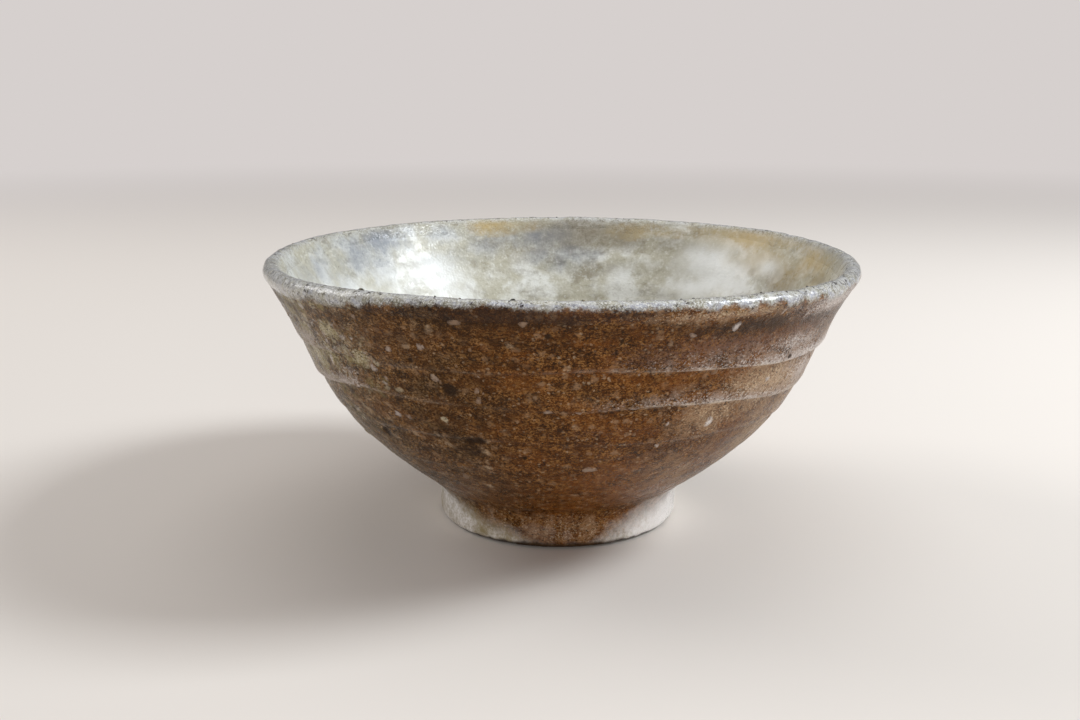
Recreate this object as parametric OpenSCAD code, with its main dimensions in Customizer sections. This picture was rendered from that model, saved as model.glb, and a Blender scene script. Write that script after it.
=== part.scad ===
// Wheel-thrown tea bowl on a turned foot ring, with ash glaze inside, over the lip and outside.
// Frame: Z up, origin on the bowl's axis at the table. Millimetres and degrees.
// The outline that is seen, glaze included, is drawn first. The clay lies under it by the glaze's thickness.

/* [Bowl] */
// Outer diameter at the lip
rim_d = 130; // [118:1:146]
// Height from the table to the crest of the lip
bowl_h = 60; // [54:0.5:70]
// Thickness of the rounded lip
lip_t = 3.6; // [3:0.1:4.8]
// Lean of the outer wall just under the lip, from upright
lip_lean = 33; // [26:1:40]
// How far the wall under the lip keeps its lean
lip_reach = 22; // [16:0.5:28]
// Lean of the hip just above the foot, from upright
hip_lean = 56; // [48:1:60]
// How far the hip keeps its lean
hip_reach = 35.5; // [30:0.5:40]

/* [Inside] */
// Thickness of the floor at its centre, glaze included
floor_t = 6; // [4:0.5:9]
// Diameter of the shallow well where the tea gathers
well_d = 32; // [20:1:40]
// Depth of the well below the floor round it
well_depth = 1.2; // [0.4:0.1:2]
// Rise of the floor at the edge of the well, from level
floor_rise = 14; // [8:1:20]
// How far the floor keeps its rise
floor_reach = 26; // [20:0.5:30]
// Lean of the inner wall just under the lip, from upright
inner_lean = 34; // [28:1:40]
// How far the inner wall keeps its lean
inner_reach = 22; // [16:0.5:26]

/* [Throwing ledges] */
// Height of the top ledge below the crest of the lip
ledge_drop = 14; // [10:0.5:20]
// Height of each finger band between two ledges
ledge_pitch = 7.7; // [6:0.1:11]
// How far a band stands out over the ledge below it
ledge_step = 0.5; // [0.1:0.05:0.8]

/* [Foot] */
// Outer diameter of the foot ring
foot_d = 53.8; // [46:0.2:60]
// Height of the foot ring at its outer edge
foot_h = 8.1; // [6.6:0.1:10]
// Thickness of the foot ring where it meets the floor
foot_t = 5.2; // [4:0.1:7]
// Depth of the recess inside the foot ring
recess_depth = 6; // [4.5:0.1:6.5]
// How far the recess widens from its ceiling to the table
recess_draft = 0.7; // [0:0.1:1.2]
// Radius of the rounded outer edge at the table
foot_round = 1.6; // [0.5:0.1:1.8]
// Width of the bevel round the inner edge at the table
foot_bevel = 0.7; // [0.3:0.1:1]
// Height of the nib that turning leaves at the centre of the recess
nib_h = 1.1; // [0.4:0.1:2]
// Diameter of the nib
nib_d = 8; // [5:0.5:12]
// Number of turned rings on the ceiling of the recess
turned_rings = 4; // [1:1:5]
// Depth of each turned ring
turned_depth = 0.25; // [0.1:0.05:0.4]

/* [Glaze] */
// Thickness of the brown glaze outside
outer_glaze_t = 0.3; // [0.2:0.05:0.6]
// Thickness of the pale glaze rolled over the lip
lip_glaze_t = 0.6; // [0.3:0.05:0.9]
// Thickness of the pale glaze inside
inner_glaze_t = 0.5; // [0.3:0.05:0.8]
// How far the lip's glaze runs down the outside, below the roll of the lip
lip_glaze_out = 1.4; // [1:0.1:5]
// How far the lip's glaze runs down the inside, below the roll of the lip
lip_glaze_in = 3; // [1:0.1:5]
// Thickness of the brown run down the front of the foot
run_t = 0.35; // [0.2:0.05:0.6]
// Width of the run at the joint of the foot
run_w = 48; // [20:1:50]
// Height above the table where the run stops
run_low = 1.9; // [1.8:0.1:3.5]

/* [Stones and grit] */
// Number of white stones that show outside
grain_count = 44; // [12:1:60]
// Radius of the largest stone
grain_r = 1.4; // [1:0.1:1.8]
// Height of the largest stone above the glaze
grain_proud = 0.35; // [0.2:0.05:0.5]
// Number of dark grit specks on the lip
grit_count = 15; // [6:1:24]
// Radius of a grit speck
grit_r = 0.6; // [0.4:0.05:0.8]
// Height of a grit speck above the glaze
grit_proud = 0.35; // [0.2:0.05:0.4]

/* [Hidden] */

round_fn = 360;         // facets of a full turn
small_fn = 48;          // facets of a stone or a speck
stone_sink = 0.4;       // how far a stone reaches under the surface before it is cut to fit
ledge_edge = 0.1;       // share of a band that its lower edge takes up
band_samples = [0, ledge_edge, 0.32, 0.55, 0.8];
lip_steps = 12;         // chords round the lip
inner_steps = 26;       // chords down the inner wall
well_steps = 4;         // chords across half the well
feather = 3;            // height over which the brown glaze thins out to the foot
even_turn = 271.756;    // turn from one stone to the next; with the share below it scatters them evenly
even_share = 0.56984;

foot_r = foot_d / 2;
foot_in_r = foot_r - foot_t;
base_in_r = foot_in_r + recess_draft;
floor_z = recess_depth + floor_t;
well_r = well_d / 2;
lip_r = lip_t / 2;
lip_centre = [rim_d / 2 - lip_r, bowl_h - lip_r];
top_ledge_z = bowl_h - ledge_drop;

function along(lean) = [sin(lean), cos(lean)];
function on_lip(angle) = lip_centre + lip_r * [cos(angle), sin(angle)];

// Bezier curves of the two walls, each from low to high
foot_joint = [foot_r, foot_h];
outer_top = on_lip(-lip_lean);
inner_top = on_lip(180 - inner_lean);
well_edge = [well_r, floor_z + well_depth];
outer_curve = [foot_joint, foot_joint + hip_reach * along(hip_lean),
               outer_top - lip_reach * along(lip_lean), outer_top];
inner_curve = [well_edge, well_edge + floor_reach * along(90 - floor_rise),
               inner_top - inner_reach * along(inner_lean), inner_top];

function bezier(p, t) =
    p[0] * pow(1 - t, 3) + 3 * p[1] * t * pow(1 - t, 2) + 3 * p[2] * t * t * (1 - t) + p[3] * pow(t, 3);

// Share of the way along a curve that climbs steadily at which it reaches height z, by halving
function share_at(p, z, low = 0, high = 1, turns = 24) =
    let (middle = (low + high) / 2)
    turns == 0 ? middle
    : bezier(p, middle)[1] < z ? share_at(p, z, middle, high, turns - 1)
    : share_at(p, z, low, middle, turns - 1);

function curve_at(p, z) = bezier(p, share_at(p, z));

// A finger band stands out most just over its ledge and dies away towards the next one
function swell(f) = f < ledge_edge ? f / ledge_edge : pow((1 - f) / (1 - ledge_edge), 1.4);
function clamp01(x) = min(1, max(0, x));
lip_glaze_z = outer_top[1] - lip_glaze_out;
function ledge_fade(z) = clamp01((z - foot_h) / 4) * clamp01((lip_glaze_z - z) / 3);
function band_point(z, f) = curve_at(outer_curve, z) + [ledge_step * ledge_fade(z) * (swell(f) - 0.4), 0];
function wrap01(x) = x - floor(x);
function seen_point(z) = band_point(z, wrap01((z - top_ledge_z) / ledge_pitch));

bands_below = floor((top_ledge_z - foot_h) / ledge_pitch) + 1;
bands_above = ceil((lip_glaze_z - top_ledge_z) / ledge_pitch);
edge_gap = 0.4;         // least height between two points of the outer outline
outer_points = [foot_joint,
    for (k = [-bands_below : bands_above - 1], f = band_samples)
        let (z = top_ledge_z + (k + f) * ledge_pitch)
        if (z > foot_h + edge_gap && z < lip_glaze_z - edge_gap) band_point(z, f),
    curve_at(outer_curve, lip_glaze_z)];
lip_points = [for (i = [0 : lip_steps]) on_lip(-lip_lean + (180 + lip_lean - inner_lean) * i / lip_steps)];
lip_glaze_end = share_at(inner_curve, inner_top[1] - lip_glaze_in);
inner_points = [bezier(inner_curve, lip_glaze_end),
    for (i = [inner_steps - 1 : -1 : 0]) if (i / inner_steps < lip_glaze_end - 0.3 / inner_steps)
        bezier(inner_curve, i / inner_steps),
    for (i = [well_steps - 1 : -1 : 0]) let (x = i / well_steps) [well_r * x, floor_z + well_depth * x * x]];

outline = concat(outer_points, lip_points, inner_points);
last = len(outline) - 1;
outer_last = len(outer_points) - 1;            // where the brown glaze meets the lip's glaze
inner_first = outer_last + len(lip_points) + 1;  // where the lip's glaze meets the inner glaze

function unit(v) = v / norm(v);
function into_clay(i) =
    let (d = unit(outline[min(i + 1, last)] - outline[max(i - 1, 0)]))
    i == last ? [0, -1] : [-d[1], d[0]];
function glaze_depth(i) =
    i <= outer_last ? outer_glaze_t * clamp01((outline[i][1] - foot_h) / feather)
    : i < inner_first ? lip_glaze_t
    : inner_glaze_t;
clay = [for (i = [0 : last]) outline[i] + glaze_depth(i) * into_clay(i)];

function stretch(points, a, b) = [for (i = [a : b]) points[i]];
function back(points) = [for (i = [len(points) - 1 : -1 : 0]) points[i]];

// Ceiling of the recess, from the nib outwards, with its turned rings
ring_pitch = (foot_in_r - nib_d / 2) / (turned_rings + 0.5);
ceiling = [[0, recess_depth - nib_h], [nib_d / 2, recess_depth],
    for (i = [0 : turned_rings - 1])
        let (r = nib_d / 2 + (i + 0.5) * ring_pitch)
        each [[r, recess_depth], [r + 0.35 * ring_pitch, recess_depth + turned_depth],
              [r + 0.7 * ring_pitch, recess_depth]],
    [foot_in_r, recess_depth]];

module turn_profile(points) {
    rotate_extrude($fn = round_fn) polygon(points);
}

// Skin between the seen outline and the clay, from outline point a to point b
module glaze_skin(a, b) {
    turn_profile(concat(stretch(outline, a, b), back(stretch(clay, a, b))));
}

// The whole glazed bowl above the foot, which stones and grit are cut to fit
module glazed_bowl() {
    turn_profile(concat(ceiling, outline));
}

module bowl_wall() {
    color("tan") turn_profile(concat(ceiling, clay));
}

module foot_ring() {
    round_centre = [foot_r - foot_round, foot_round];
    color("wheat") turn_profile(concat(
        [[foot_in_r, recess_depth], foot_joint],
        [for (a = [0 : -15 : -90]) round_centre + foot_round * [cos(a), sin(a)]],
        [[base_in_r + foot_bevel, 0], [base_in_r, foot_bevel]]));
}

module outer_glaze() {
    color("saddlebrown") glaze_skin(1, outer_last);
}

module rim_glaze() {
    color("lightgray") glaze_skin(outer_last, inner_first);
}

module inner_glaze() {
    color("beige") glaze_skin(inner_first, last);
}

// Brown glaze that ran over the joint and down the front of the foot, in a round-ended tongue
module foot_glaze_run() {
    run_h = foot_h - run_low;
    tongue_r = (run_w * run_w / 4 + run_h * run_h) / (2 * run_h);
    color("sienna") intersection() {
        turn_profile([foot_joint, [foot_r, foot_round], [foot_r + run_t, foot_round],
                      [foot_r + run_t, foot_h - run_t]]);
        rotate([90, 0, 0]) translate([0, run_low + tongue_r, 0])
            cylinder(r = tongue_r, h = foot_d, $fn = round_fn);
    }
}

// A stone with a rounded back, set square to the surface at this point and sunk under it
module stone(point, out, r, proud) {
    back_curve = [[r, -stone_sink], [r, 0.3 * proud], [0.82 * r, 0.78 * proud], [0.45 * r, proud]];
    translate([point[0], 0, point[1]]) rotate([0, atan2(out[0], out[1]), 0])
        rotate_extrude($fn = small_fn) polygon(concat([[0, -stone_sink]], back_curve, [[0, proud]]));
}

module feldspar_grains() {
    low = foot_h + 4;
    high = lip_glaze_z - 2;
    color("white") difference() {
        for (i = [0 : grain_count - 1]) {
            size = 0.5 + 0.5 * pow(sin(i * 71), 2);
            z = low + (high - low) * sqrt(wrap01(i * even_share));
            climb = curve_at(outer_curve, z + 0.5) - curve_at(outer_curve, z - 0.5);
            rotate([0, 0, i * even_turn])
                stone(seen_point(z), unit([climb[1], -climb[0]]), grain_r * size, grain_proud * size);
        }
        glazed_bowl();
    }
}

module kiln_grit() {
    color("dimgray") difference() {
        for (i = [0 : grit_count - 1]) {
            angle = 62 + 46 * abs(sin(i * 53));
            rotate([0, 0, i * even_turn + 20])
                stone(on_lip(angle), [cos(angle), sin(angle)], grit_r * (0.75 + 0.25 * cos(i * 97)), grit_proud);
        }
        glazed_bowl();
    }
}

bowl_wall();
foot_ring();
outer_glaze();
rim_glaze();
inner_glaze();
foot_glaze_run();
feldspar_grains();
kiln_grit();
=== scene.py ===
"""A wheel-thrown, wood-fired tea bowl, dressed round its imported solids.

Lengths are metres and angles radians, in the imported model's frame: +Z up, the viewer on the -Y side.
A place on the bowl is its turn, the angle from the front towards +X, and its run, the length along the
half-section from the foot's base up the outside, over the lip and down the inside to the centre.
"""
import math

import bpy
import numpy as np
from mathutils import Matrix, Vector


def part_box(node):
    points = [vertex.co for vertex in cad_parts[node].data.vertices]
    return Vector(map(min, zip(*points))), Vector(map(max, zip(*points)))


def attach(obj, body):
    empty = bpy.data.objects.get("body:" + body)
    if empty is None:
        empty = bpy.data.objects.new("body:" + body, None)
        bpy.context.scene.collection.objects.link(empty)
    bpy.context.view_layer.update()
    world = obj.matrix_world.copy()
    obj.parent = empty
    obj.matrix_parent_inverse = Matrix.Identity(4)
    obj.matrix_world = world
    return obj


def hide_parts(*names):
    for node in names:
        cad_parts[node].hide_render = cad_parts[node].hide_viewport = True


bl_info = {
    "name": "Wood-fired Tea Bowl",
    "version": (1, 0, 0),
    "blender": (4, 5, 0),
    "location": "View3D > Sidebar > Tea Bowl",
    "description": "Builds a thrown tea bowl in layers: clay, foot ring, glazes, stones and kiln grit",
    "category": "Add Mesh",
}

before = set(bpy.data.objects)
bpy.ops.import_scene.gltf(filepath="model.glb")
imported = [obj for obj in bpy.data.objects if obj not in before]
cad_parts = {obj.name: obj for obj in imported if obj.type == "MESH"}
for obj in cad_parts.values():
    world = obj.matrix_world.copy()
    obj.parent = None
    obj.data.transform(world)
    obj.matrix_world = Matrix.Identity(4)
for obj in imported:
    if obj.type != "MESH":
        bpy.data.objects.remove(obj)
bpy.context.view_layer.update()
LIP_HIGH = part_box("rim_glaze")[1]
FOOT_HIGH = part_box("foot_ring")[1]

MM = 0.001
BODY = "root"
AROUND = 640            # columns of a piece that goes all round
SECTION_STEP = 0.05 * MM
CURVE_POINTS = 400      # points of each curve of the half-section
RISING_POINTS = 250     # of the lip's arc, those that are surely on its way up
TANGENT_POINTS = 13     # points over which the section's direction is averaged
WALL_RADIUS = 52        # millimetres, turns a pit's radius into an angle
BACK_ROWS = 10          # rows of the back of a skin, which lies in the clay
EDGE_DIP = 0.55         # share of a skin's thickness by which its edges dip
BROWN_IOR = 1.27        # the matt skin of the brown glaze reflects less than glass
WARM = (1.0, 0.76, 0.52)  # and its iron warms what it reflects
GRIT_BLACK = (0.004, 0.003, 0.003)


def srgb(red, green, blue):
    """Linear colour of a screen colour given in 0 to 255."""
    def linear(value):
        value /= 255
        return value / 12.92 if value <= 0.04045 else ((value + 0.055) / 1.055) ** 2.4

    return (linear(red), linear(green), linear(blue))


# ---------------------------------------------------------------- settings

def length(name, description, default):
    """Setting of a length."""
    return bpy.props.FloatProperty(name=name, description=description, default=default,
                                   unit="LENGTH", precision=5)


def angle(name, description, degrees):
    """Setting of an angle, given in degrees."""
    return bpy.props.FloatProperty(name=name, description=description,
                                   default=math.radians(degrees), unit="ROTATION")


def number(name, description, default):
    """Setting of a count."""
    return bpy.props.IntProperty(name=name, description=description, default=default, min=0)


def colour(name, description, red, green, blue):
    """Setting of a colour, given in 0 to 255."""
    return bpy.props.FloatVectorProperty(name=name, description=description, subtype="COLOR",
                                         default=srgb(red, green, blue), min=0, max=1)


class TeaBowlShape(bpy.types.PropertyGroup):
    """Half-section of the bowl and how far the hand left it from true."""
    rim_radius: length("Rim radius", "Outer radius at the lip", LIP_HIGH.x)
    height: length("Height", "Crest of the lip above the table", LIP_HIGH.z)
    lip_thickness: length("Lip thickness", "Thickness of the rounded lip", 3.6 * MM)
    lip_lean: angle("Lip lean", "Lean of the outer wall under the lip, from upright", 33)
    lip_reach: length("Lip reach", "How far the wall under the lip keeps its lean", 22 * MM)
    hip_lean: angle("Hip lean", "Lean of the hip above the foot, from upright", 56)
    hip_reach: length("Hip reach", "How far the hip keeps its lean", 35.5 * MM)
    foot_radius: length("Foot radius", "Outer radius of the foot ring", FOOT_HIGH.x)
    foot_height: length("Foot height", "Height of the foot ring at its outer edge", FOOT_HIGH.z)
    joint_fillet: length("Joint fillet", "Reach of the soft hollow where the foot meets the hip", 2.2 * MM)
    inner_lean: angle("Inner lean", "Lean of the inner wall under the lip, from upright", 34)
    inner_reach: length("Inner reach", "How far the inner wall keeps its lean", 22 * MM)
    floor_rise: angle("Floor rise", "Rise of the floor at the edge of the well", 14)
    floor_reach: length("Floor reach", "How far the floor keeps its rise", 26 * MM)
    floor_height: length("Floor height", "Floor at the centre above the table", 12 * MM)
    well_radius: length("Well radius", "Radius of the shallow well", 16 * MM)
    well_depth: length("Well depth", "Depth of the well below the floor round it", 1.2 * MM)
    recess_height: length("Recess height", "Ceiling of the recess above the table", 6 * MM)
    foot_thickness: length("Foot thickness", "Thickness of the foot ring at its top", 5.2 * MM)
    nib_height: length("Nib height", "Height of the nib inside the foot", 1.1 * MM)
    rim_shift: length("Rim shift", "How far the rim stands off the foot's axis", 0.5 * MM)
    dent: length("Dents", "Depth of the soft dents that the fingers left", 0.22 * MM)


class TeaBowlGlaze(bpy.types.PropertyGroup):
    """Glaze layers: thickness and colours."""
    outer_thickness: length("Outer glaze", "Thickness of the brown glaze", 0.3 * MM)
    lip_thickness: length("Lip glaze", "Thickness of the grey-white glaze on the lip", 0.6 * MM)
    inner_thickness: length("Inner glaze", "Thickness of the pale glaze inside", 0.5 * MM)
    brown_dark: colour("Brown, dark", "Dark grain of the brown glaze", 32, 14, 2)
    brown: colour("Brown", "Body colour of the brown glaze", 84, 46, 10)
    brown_olive: colour("Brown, olive", "Body colour where ash turned it olive", 80, 58, 14)
    brown_light: colour("Brown, light", "Light grain of the brown glaze", 144, 102, 56)
    # Partly painted light: just under the upper ledges it is painted shade, and low on the hip and foot it is
    # painted light on the shaded underside.
    ember_and_painted_light: colour("Ember", "Orange-brown blush", 128, 72, 20)
    # Partly painted shade: the dark band just under the lip also stands for the shade under its bead.
    soot_and_shade: colour("Soot", "Brown-black band under the lip", 38, 22, 10)
    # Partly painted sheen: on the left flank this film also stands for the glaze's grazing reflection.
    olive_ash: colour("Olive ash", "Olive-grey film of ash on the flank that faced the fire", 134, 118, 72)
    ash_grain: colour("Ash grain", "Pale grains in the ash film", 192, 181, 154)
    # Partly painted light: on the right flank this film is painted sheen, and low on the foot it is painted
    # light where the bowl shades itself.
    beige: colour("Beige", "Beige film melted into the glaze", 154, 123, 94)
    beige_grain: colour("Beige grain", "Pale grains in the beige film", 200, 175, 145)
    # Partly painted sheen: on the right flank this film also stands for the glaze's grazing reflection.
    mauve: colour("Mauve", "Mauve-brown film", 112, 82, 68)
    bloom: colour("Bloom", "Grey-pink film over the ledges", 152, 132, 120)
    bloom_grain: colour("Bloom grain", "Pale grains in the bloom", 200, 190, 184)
    # Partly painted highlight: the pale line along the ledges' crests also stands for light catching them.
    thin_edge_and_highlight: colour("Thin edge", "Pale line where glaze drew back from an edge", 218, 202, 184)
    lip_white: colour("Lip white", "White grains of the lip", 226, 224, 218)
    lip_cream: colour("Lip cream", "Cream of the lip", 196, 190, 168)
    lip_grey: colour("Lip grey", "Grey-green of the lip where it is thin", 128, 122, 100)
    lip_lilac: colour("Lip lilac", "Lilac-grey of the lip", 160, 161, 172)
    cream: colour("Cream", "Cream of the glaze inside", 185, 180, 162)
    # Partly painted highlight: one white cloud on the left inner wall widens the glaze's highlight there.
    cloud_and_highlight: colour("Cloud", "White clouds inside", 232, 232, 228)
    blue_grey: colour("Blue-grey", "Blue-grey clouds inside", 118, 122, 130)
    ochre: colour("Ochre", "Ochre near the lip inside", 186, 161, 106)
    umber: colour("Umber", "Brown-grey shade inside", 128, 118, 100)


class TeaBowlClay(bpy.types.PropertyGroup):
    """Colours of the bare clay, the stones and the grit, and how many there are."""
    buff: colour("Buff clay", "Bare clay under the foot", 186, 160, 128)
    flash: colour("Flash", "Orange flashing on bare clay", 176, 118, 76)
    # Partly painted highlight: this white is brighter than the coat, for the light that the bowl's shade
    # keeps off the foot.
    foot_white: colour("Foot white", "Milky coat of the foot ring", 247, 243, 240)
    foot_grey: colour("Foot grey", "Grey grains in the foot's coat", 204, 193, 178)
    foot_olive: colour("Foot olive", "Olive ash in the foot ring's pores", 152, 136, 100)
    # Partly painted shadow: the dark line along the base also stands for the contact shadow under the foot.
    scorch_and_contact_shade: colour("Scorch", "Dark worn line along the base", 48, 34, 22)
    stone_white: colour("Stone white", "Melted feldspar", 220, 212, 208)
    stone_cream: colour("Stone cream", "Feldspar stained by the glaze", 120, 90, 60)
    grit: colour("Grit", "Dark kiln grit", 40, 33, 28)
    stones: number("Stones", "Small stones scattered outside", 190)
    crumbs: number("Crumbs", "Crumbs of grit on the lip", 26)


# ---------------------------------------------------------------- numbers

def smooth(value, low, high):
    """0 below low and 1 above high, with a cubic ease between."""
    x = np.clip((value - low) / (high - low), 0, 1)
    return x * x * (3 - 2 * x)


def cell_noise(points, size, seed):
    """Smooth noise from -1 to 1: hashed values at the corners of cells of that size, eased between them."""
    scaled = points / size
    cell = np.floor(scaled).astype(np.int64)
    inside = scaled - cell
    ease = inside * inside * (3 - 2 * inside)
    total = 0
    for corner in np.ndindex(2, 2, 2):
        step = np.array(corner)
        lattice = cell + step
        mixed = lattice[..., 0] * 73856093 ^ lattice[..., 1] * 19349663 ^ lattice[..., 2] * 83492791
        mixed = (mixed ^ seed * 2654435761) & 0xFFFFFFFF
        mixed = ((mixed >> 13 ^ mixed) * 1274126177) & 0xFFFFFFFF
        value = ((mixed >> 16 ^ mixed) & 0xFFFF) / 0xFFFF * 2 - 1
        total = total + value * np.prod(np.where(step == 1, ease, 1 - ease), axis=-1)
    return total


def around_noise(turn, height, wide, tall, seed):
    """Noise that closes on itself round the bowl: cells wide along the turn at rim size, tall in height."""
    radius = LIP_HIGH.x
    points = np.stack([np.cos(turn) * radius / wide, np.sin(turn) * radius / wide,
                       height / tall + np.zeros_like(turn)], axis=-1)
    return cell_noise(points, 1.0, seed)


def turn_noise(turn, wide, seed):
    """Noise round the bowl that is the same at every height."""
    return around_noise(turn, 0, wide, 1, seed)


def patch(turn, height, centre, level, wide, tall):
    """Soft patch: a bell curve in turn, in degrees, times one in height, in millimetres."""
    away = (np.degrees(turn) - centre + 180) % 360 - 180
    return np.exp(-(away / wide) ** 2 - ((height / MM - level) / tall) ** 2)


def turn_patch(turn, centre, wide):
    """Soft patch that is the same at every height."""
    return patch(turn, 0, centre, 0, wide, 1)


def patches(turn, height, rows):
    """The strongest of several soft patches, each (centre, level, wide, tall, strength)."""
    total = np.zeros(np.broadcast(turn, height).shape)
    for centre, level, wide, tall, strength in rows:
        total = np.maximum(total, strength * patch(turn, height, centre, level, wide, tall))
    return total


def turned(turn, radius, height):
    """Points at these radii and heights, turned round the axis."""
    return np.stack([radius * np.sin(turn), -radius * np.cos(turn), height + 0 * turn], axis=-1)


# ---------------------------------------------------------------- half-section

def bezier(corners, shares):
    """Points of a cubic Bezier curve at these shares of its way."""
    t = shares[:, None]
    a, b, c, d = corners
    return a * (1 - t) ** 3 + 3 * b * t * (1 - t) ** 2 + 3 * c * t * t * (1 - t) + d * t ** 3


def leaning(lean):
    """Direction that leans outward from upright, as (outward, up)."""
    return np.array([math.sin(lean), math.cos(lean)])


class Section:
    """Half-section of the glazed bowl as an even run of points, with the runs of its landmarks."""

    def __init__(self, shape):
        lip_radius = shape.lip_thickness / 2
        centre = np.array([shape.rim_radius - lip_radius, shape.height - lip_radius])
        shares = np.linspace(0, 1, CURVE_POINTS)
        foot = np.array([shape.foot_radius, shape.foot_height])
        arc = -shape.lip_lean + (math.pi + shape.lip_lean - shape.inner_lean) * shares
        lip = centre + lip_radius * np.stack([np.cos(arc), np.sin(arc)], axis=-1)
        wall = bezier([foot, foot + shape.hip_reach * leaning(shape.hip_lean),
                       lip[0] - shape.lip_reach * leaning(shape.lip_lean), lip[0]], shares)
        well_edge = np.array([shape.well_radius, shape.floor_height + shape.well_depth])
        inner = bezier([lip[-1], lip[-1] - shape.inner_reach * leaning(shape.inner_lean),
                        well_edge + shape.floor_reach * leaning(math.pi / 2 - shape.floor_rise),
                        well_edge], shares)
        across = 1 - shares
        well = np.stack([shape.well_radius * across,
                         shape.floor_height + shape.well_depth * across ** 2], axis=-1)
        fillet = shape.joint_fillet
        start = np.array([shape.foot_radius, 0])
        below = foot - [0, fillet]
        beyond = foot + fillet * leaning(shape.hip_lean)
        t = shares[:, None]
        hollow = below * (1 - t) ** 2 + 2 * foot * t * (1 - t) + beyond * t * t
        side = start + (below - start) * t
        rising = wall[wall[:, 1] > beyond[1]]
        parts = [side, hollow, rising, lip, inner, well]
        points = np.concatenate([part[1:] if k else part for k, part in enumerate(parts)])
        lengths = np.concatenate([[0], np.cumsum(np.linalg.norm(np.diff(points, axis=0), axis=1))])
        ends = lengths[np.cumsum([len(part) - (k > 0) for k, part in enumerate(parts)]) - 1]
        self.joint = (ends[0] + ends[1]) / 2
        self.lip_out, self.lip_in, self.well, self.end = ends[2:]
        climb = len(side) + len(hollow) + len(rising) + RISING_POINTS
        self.crest = np.interp(shape.height - 1e-9, points[:climb, 1], lengths[:climb])
        self.runs = np.arange(0, self.end, SECTION_STEP)
        self.r = np.interp(self.runs, lengths, points[:, 0])
        self.z = np.interp(self.runs, lengths, points[:, 1])
        tangent = np.stack([np.gradient(self.r), np.gradient(self.z)])
        window = np.hanning(TANGENT_POINTS) / np.hanning(TANGENT_POINTS).sum()
        tangent = np.stack([np.convolve(np.pad(row, TANGENT_POINTS // 2, mode="edge"), window, "valid")
                            for row in tangent])
        tangent /= np.linalg.norm(tangent, axis=0)
        self.out_r, self.out_z = tangent[1], -tangent[0]
        self.out_r[self.runs > self.end - 2 * SECTION_STEP] = 0

    def at(self, run):
        """Radius, height and outward direction at a run."""
        return [np.interp(run, self.runs, values) for values in (self.r, self.z, self.out_r, self.out_z)]

    def run_at(self, height):
        """Run at which the outside reaches a height."""
        outside = self.runs <= self.crest
        return np.interp(height, self.z[outside], self.runs[outside])


# ---------------------------------------------------------------- the hand's marks

# Ledges that the fingers left: heights in millimetres at turns in degrees, and strength in millimetres.
LEDGES = (
    ((-180, -120, -70, -45, -15, 5, 20, 40, 60, 90, 130, 180),
     (45.0, 44.4, 44.6, 45.9, 45.8, 46.4, 46.0, 45.1, 44.6, 44.2, 44.8, 45.0),
     (0.40, 0.36, 0.30, 0.14, 0.10, 0.30, 0.52, 0.70, 0.82, 0.80, 0.60, 0.40)),
    ((-180, -120, -70, -46, -38, -15, 5, 20, 40, 60, 90, 130, 180),
     (37.2, 36.8, 37.0, 38.8, 38.9, 38.6, 38.1, 38.5, 37.2, 36.2, 36.0, 36.6, 37.2),
     (0.40, 0.42, 0.55, 0.48, 0.16, 0.08, 0.16, 0.34, 0.42, 0.44, 0.42, 0.36, 0.40)),
    ((-180, -120, -60, 0, 60, 120, 180),
     (29.0, 29.6, 30.4, 30.8, 29.6, 28.6, 29.0),
     (0.30, 0.26, 0.24, 0.08, 0.20, 0.30, 0.30)),
    ((-180, -90, 0, 90, 180),
     (21.0, 22.4, 23.0, 21.8, 21.0),
     (0.20, 0.14, 0.04, 0.12, 0.20)),
)

# Pits where something burnt out of the clay: turn in degrees, height and radius in millimetres.
PITS = ((-22.0, 41.7, 1.35), (-18.5, 30.6, 0.9), (-20.8, 30.3, 0.8), (-45.5, 28.6, 1.0), (-9.0, 27.0, 0.5),
        (-28.5, 47.3, 0.5), (-3.0, 53.6, 0.5), (9.0, 52.6, 0.4), (48.0, 45.6, 0.5), (120.0, 38.0, 0.9),
        (-140.0, 33.0, 0.8), (170.0, 47.0, 0.7), (150.0, 24.0, 0.6), (-100.0, 25.0, 0.7))


def ledge_lines(turn):
    """Height and strength of each ledge at these turns, in metres."""
    degrees = (np.degrees(turn) + 180) % 360 - 180
    for turns, heights, strengths in LEDGES:
        wave = 0.25 * np.sin(5 * turn + heights[0]) + 0.12 * np.sin(13 * turn + heights[1])
        yield (np.interp(degrees, turns, heights) + wave) * MM, np.interp(degrees, turns, strengths) * MM


def ledge_relief(turn, height):
    """Each ledge stands proud just above its line, dies away upward, and has a hollow below it."""
    total = 0
    for line, strength in ledge_lines(turn):
        above = height - line
        proud = smooth(above, -0.20 * MM, 0.25 * MM) * np.exp(-np.clip(above, 0, None) / (4.0 * MM))
        hollow = 0.45 * np.exp(-((above + 1.0 * MM) / (1.0 * MM)) ** 2)
        total = total + strength * (proud - hollow)
    return total


def pit_depth(turn, height):
    """Bell-shaped depth of the pits, from 0 to 1."""
    total = 0
    for centre, level, radius in PITS:
        total = total + patch(turn, height, centre, level, math.degrees(radius / WALL_RADIUS), radius)
    return np.clip(total, 0, 1)


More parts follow.
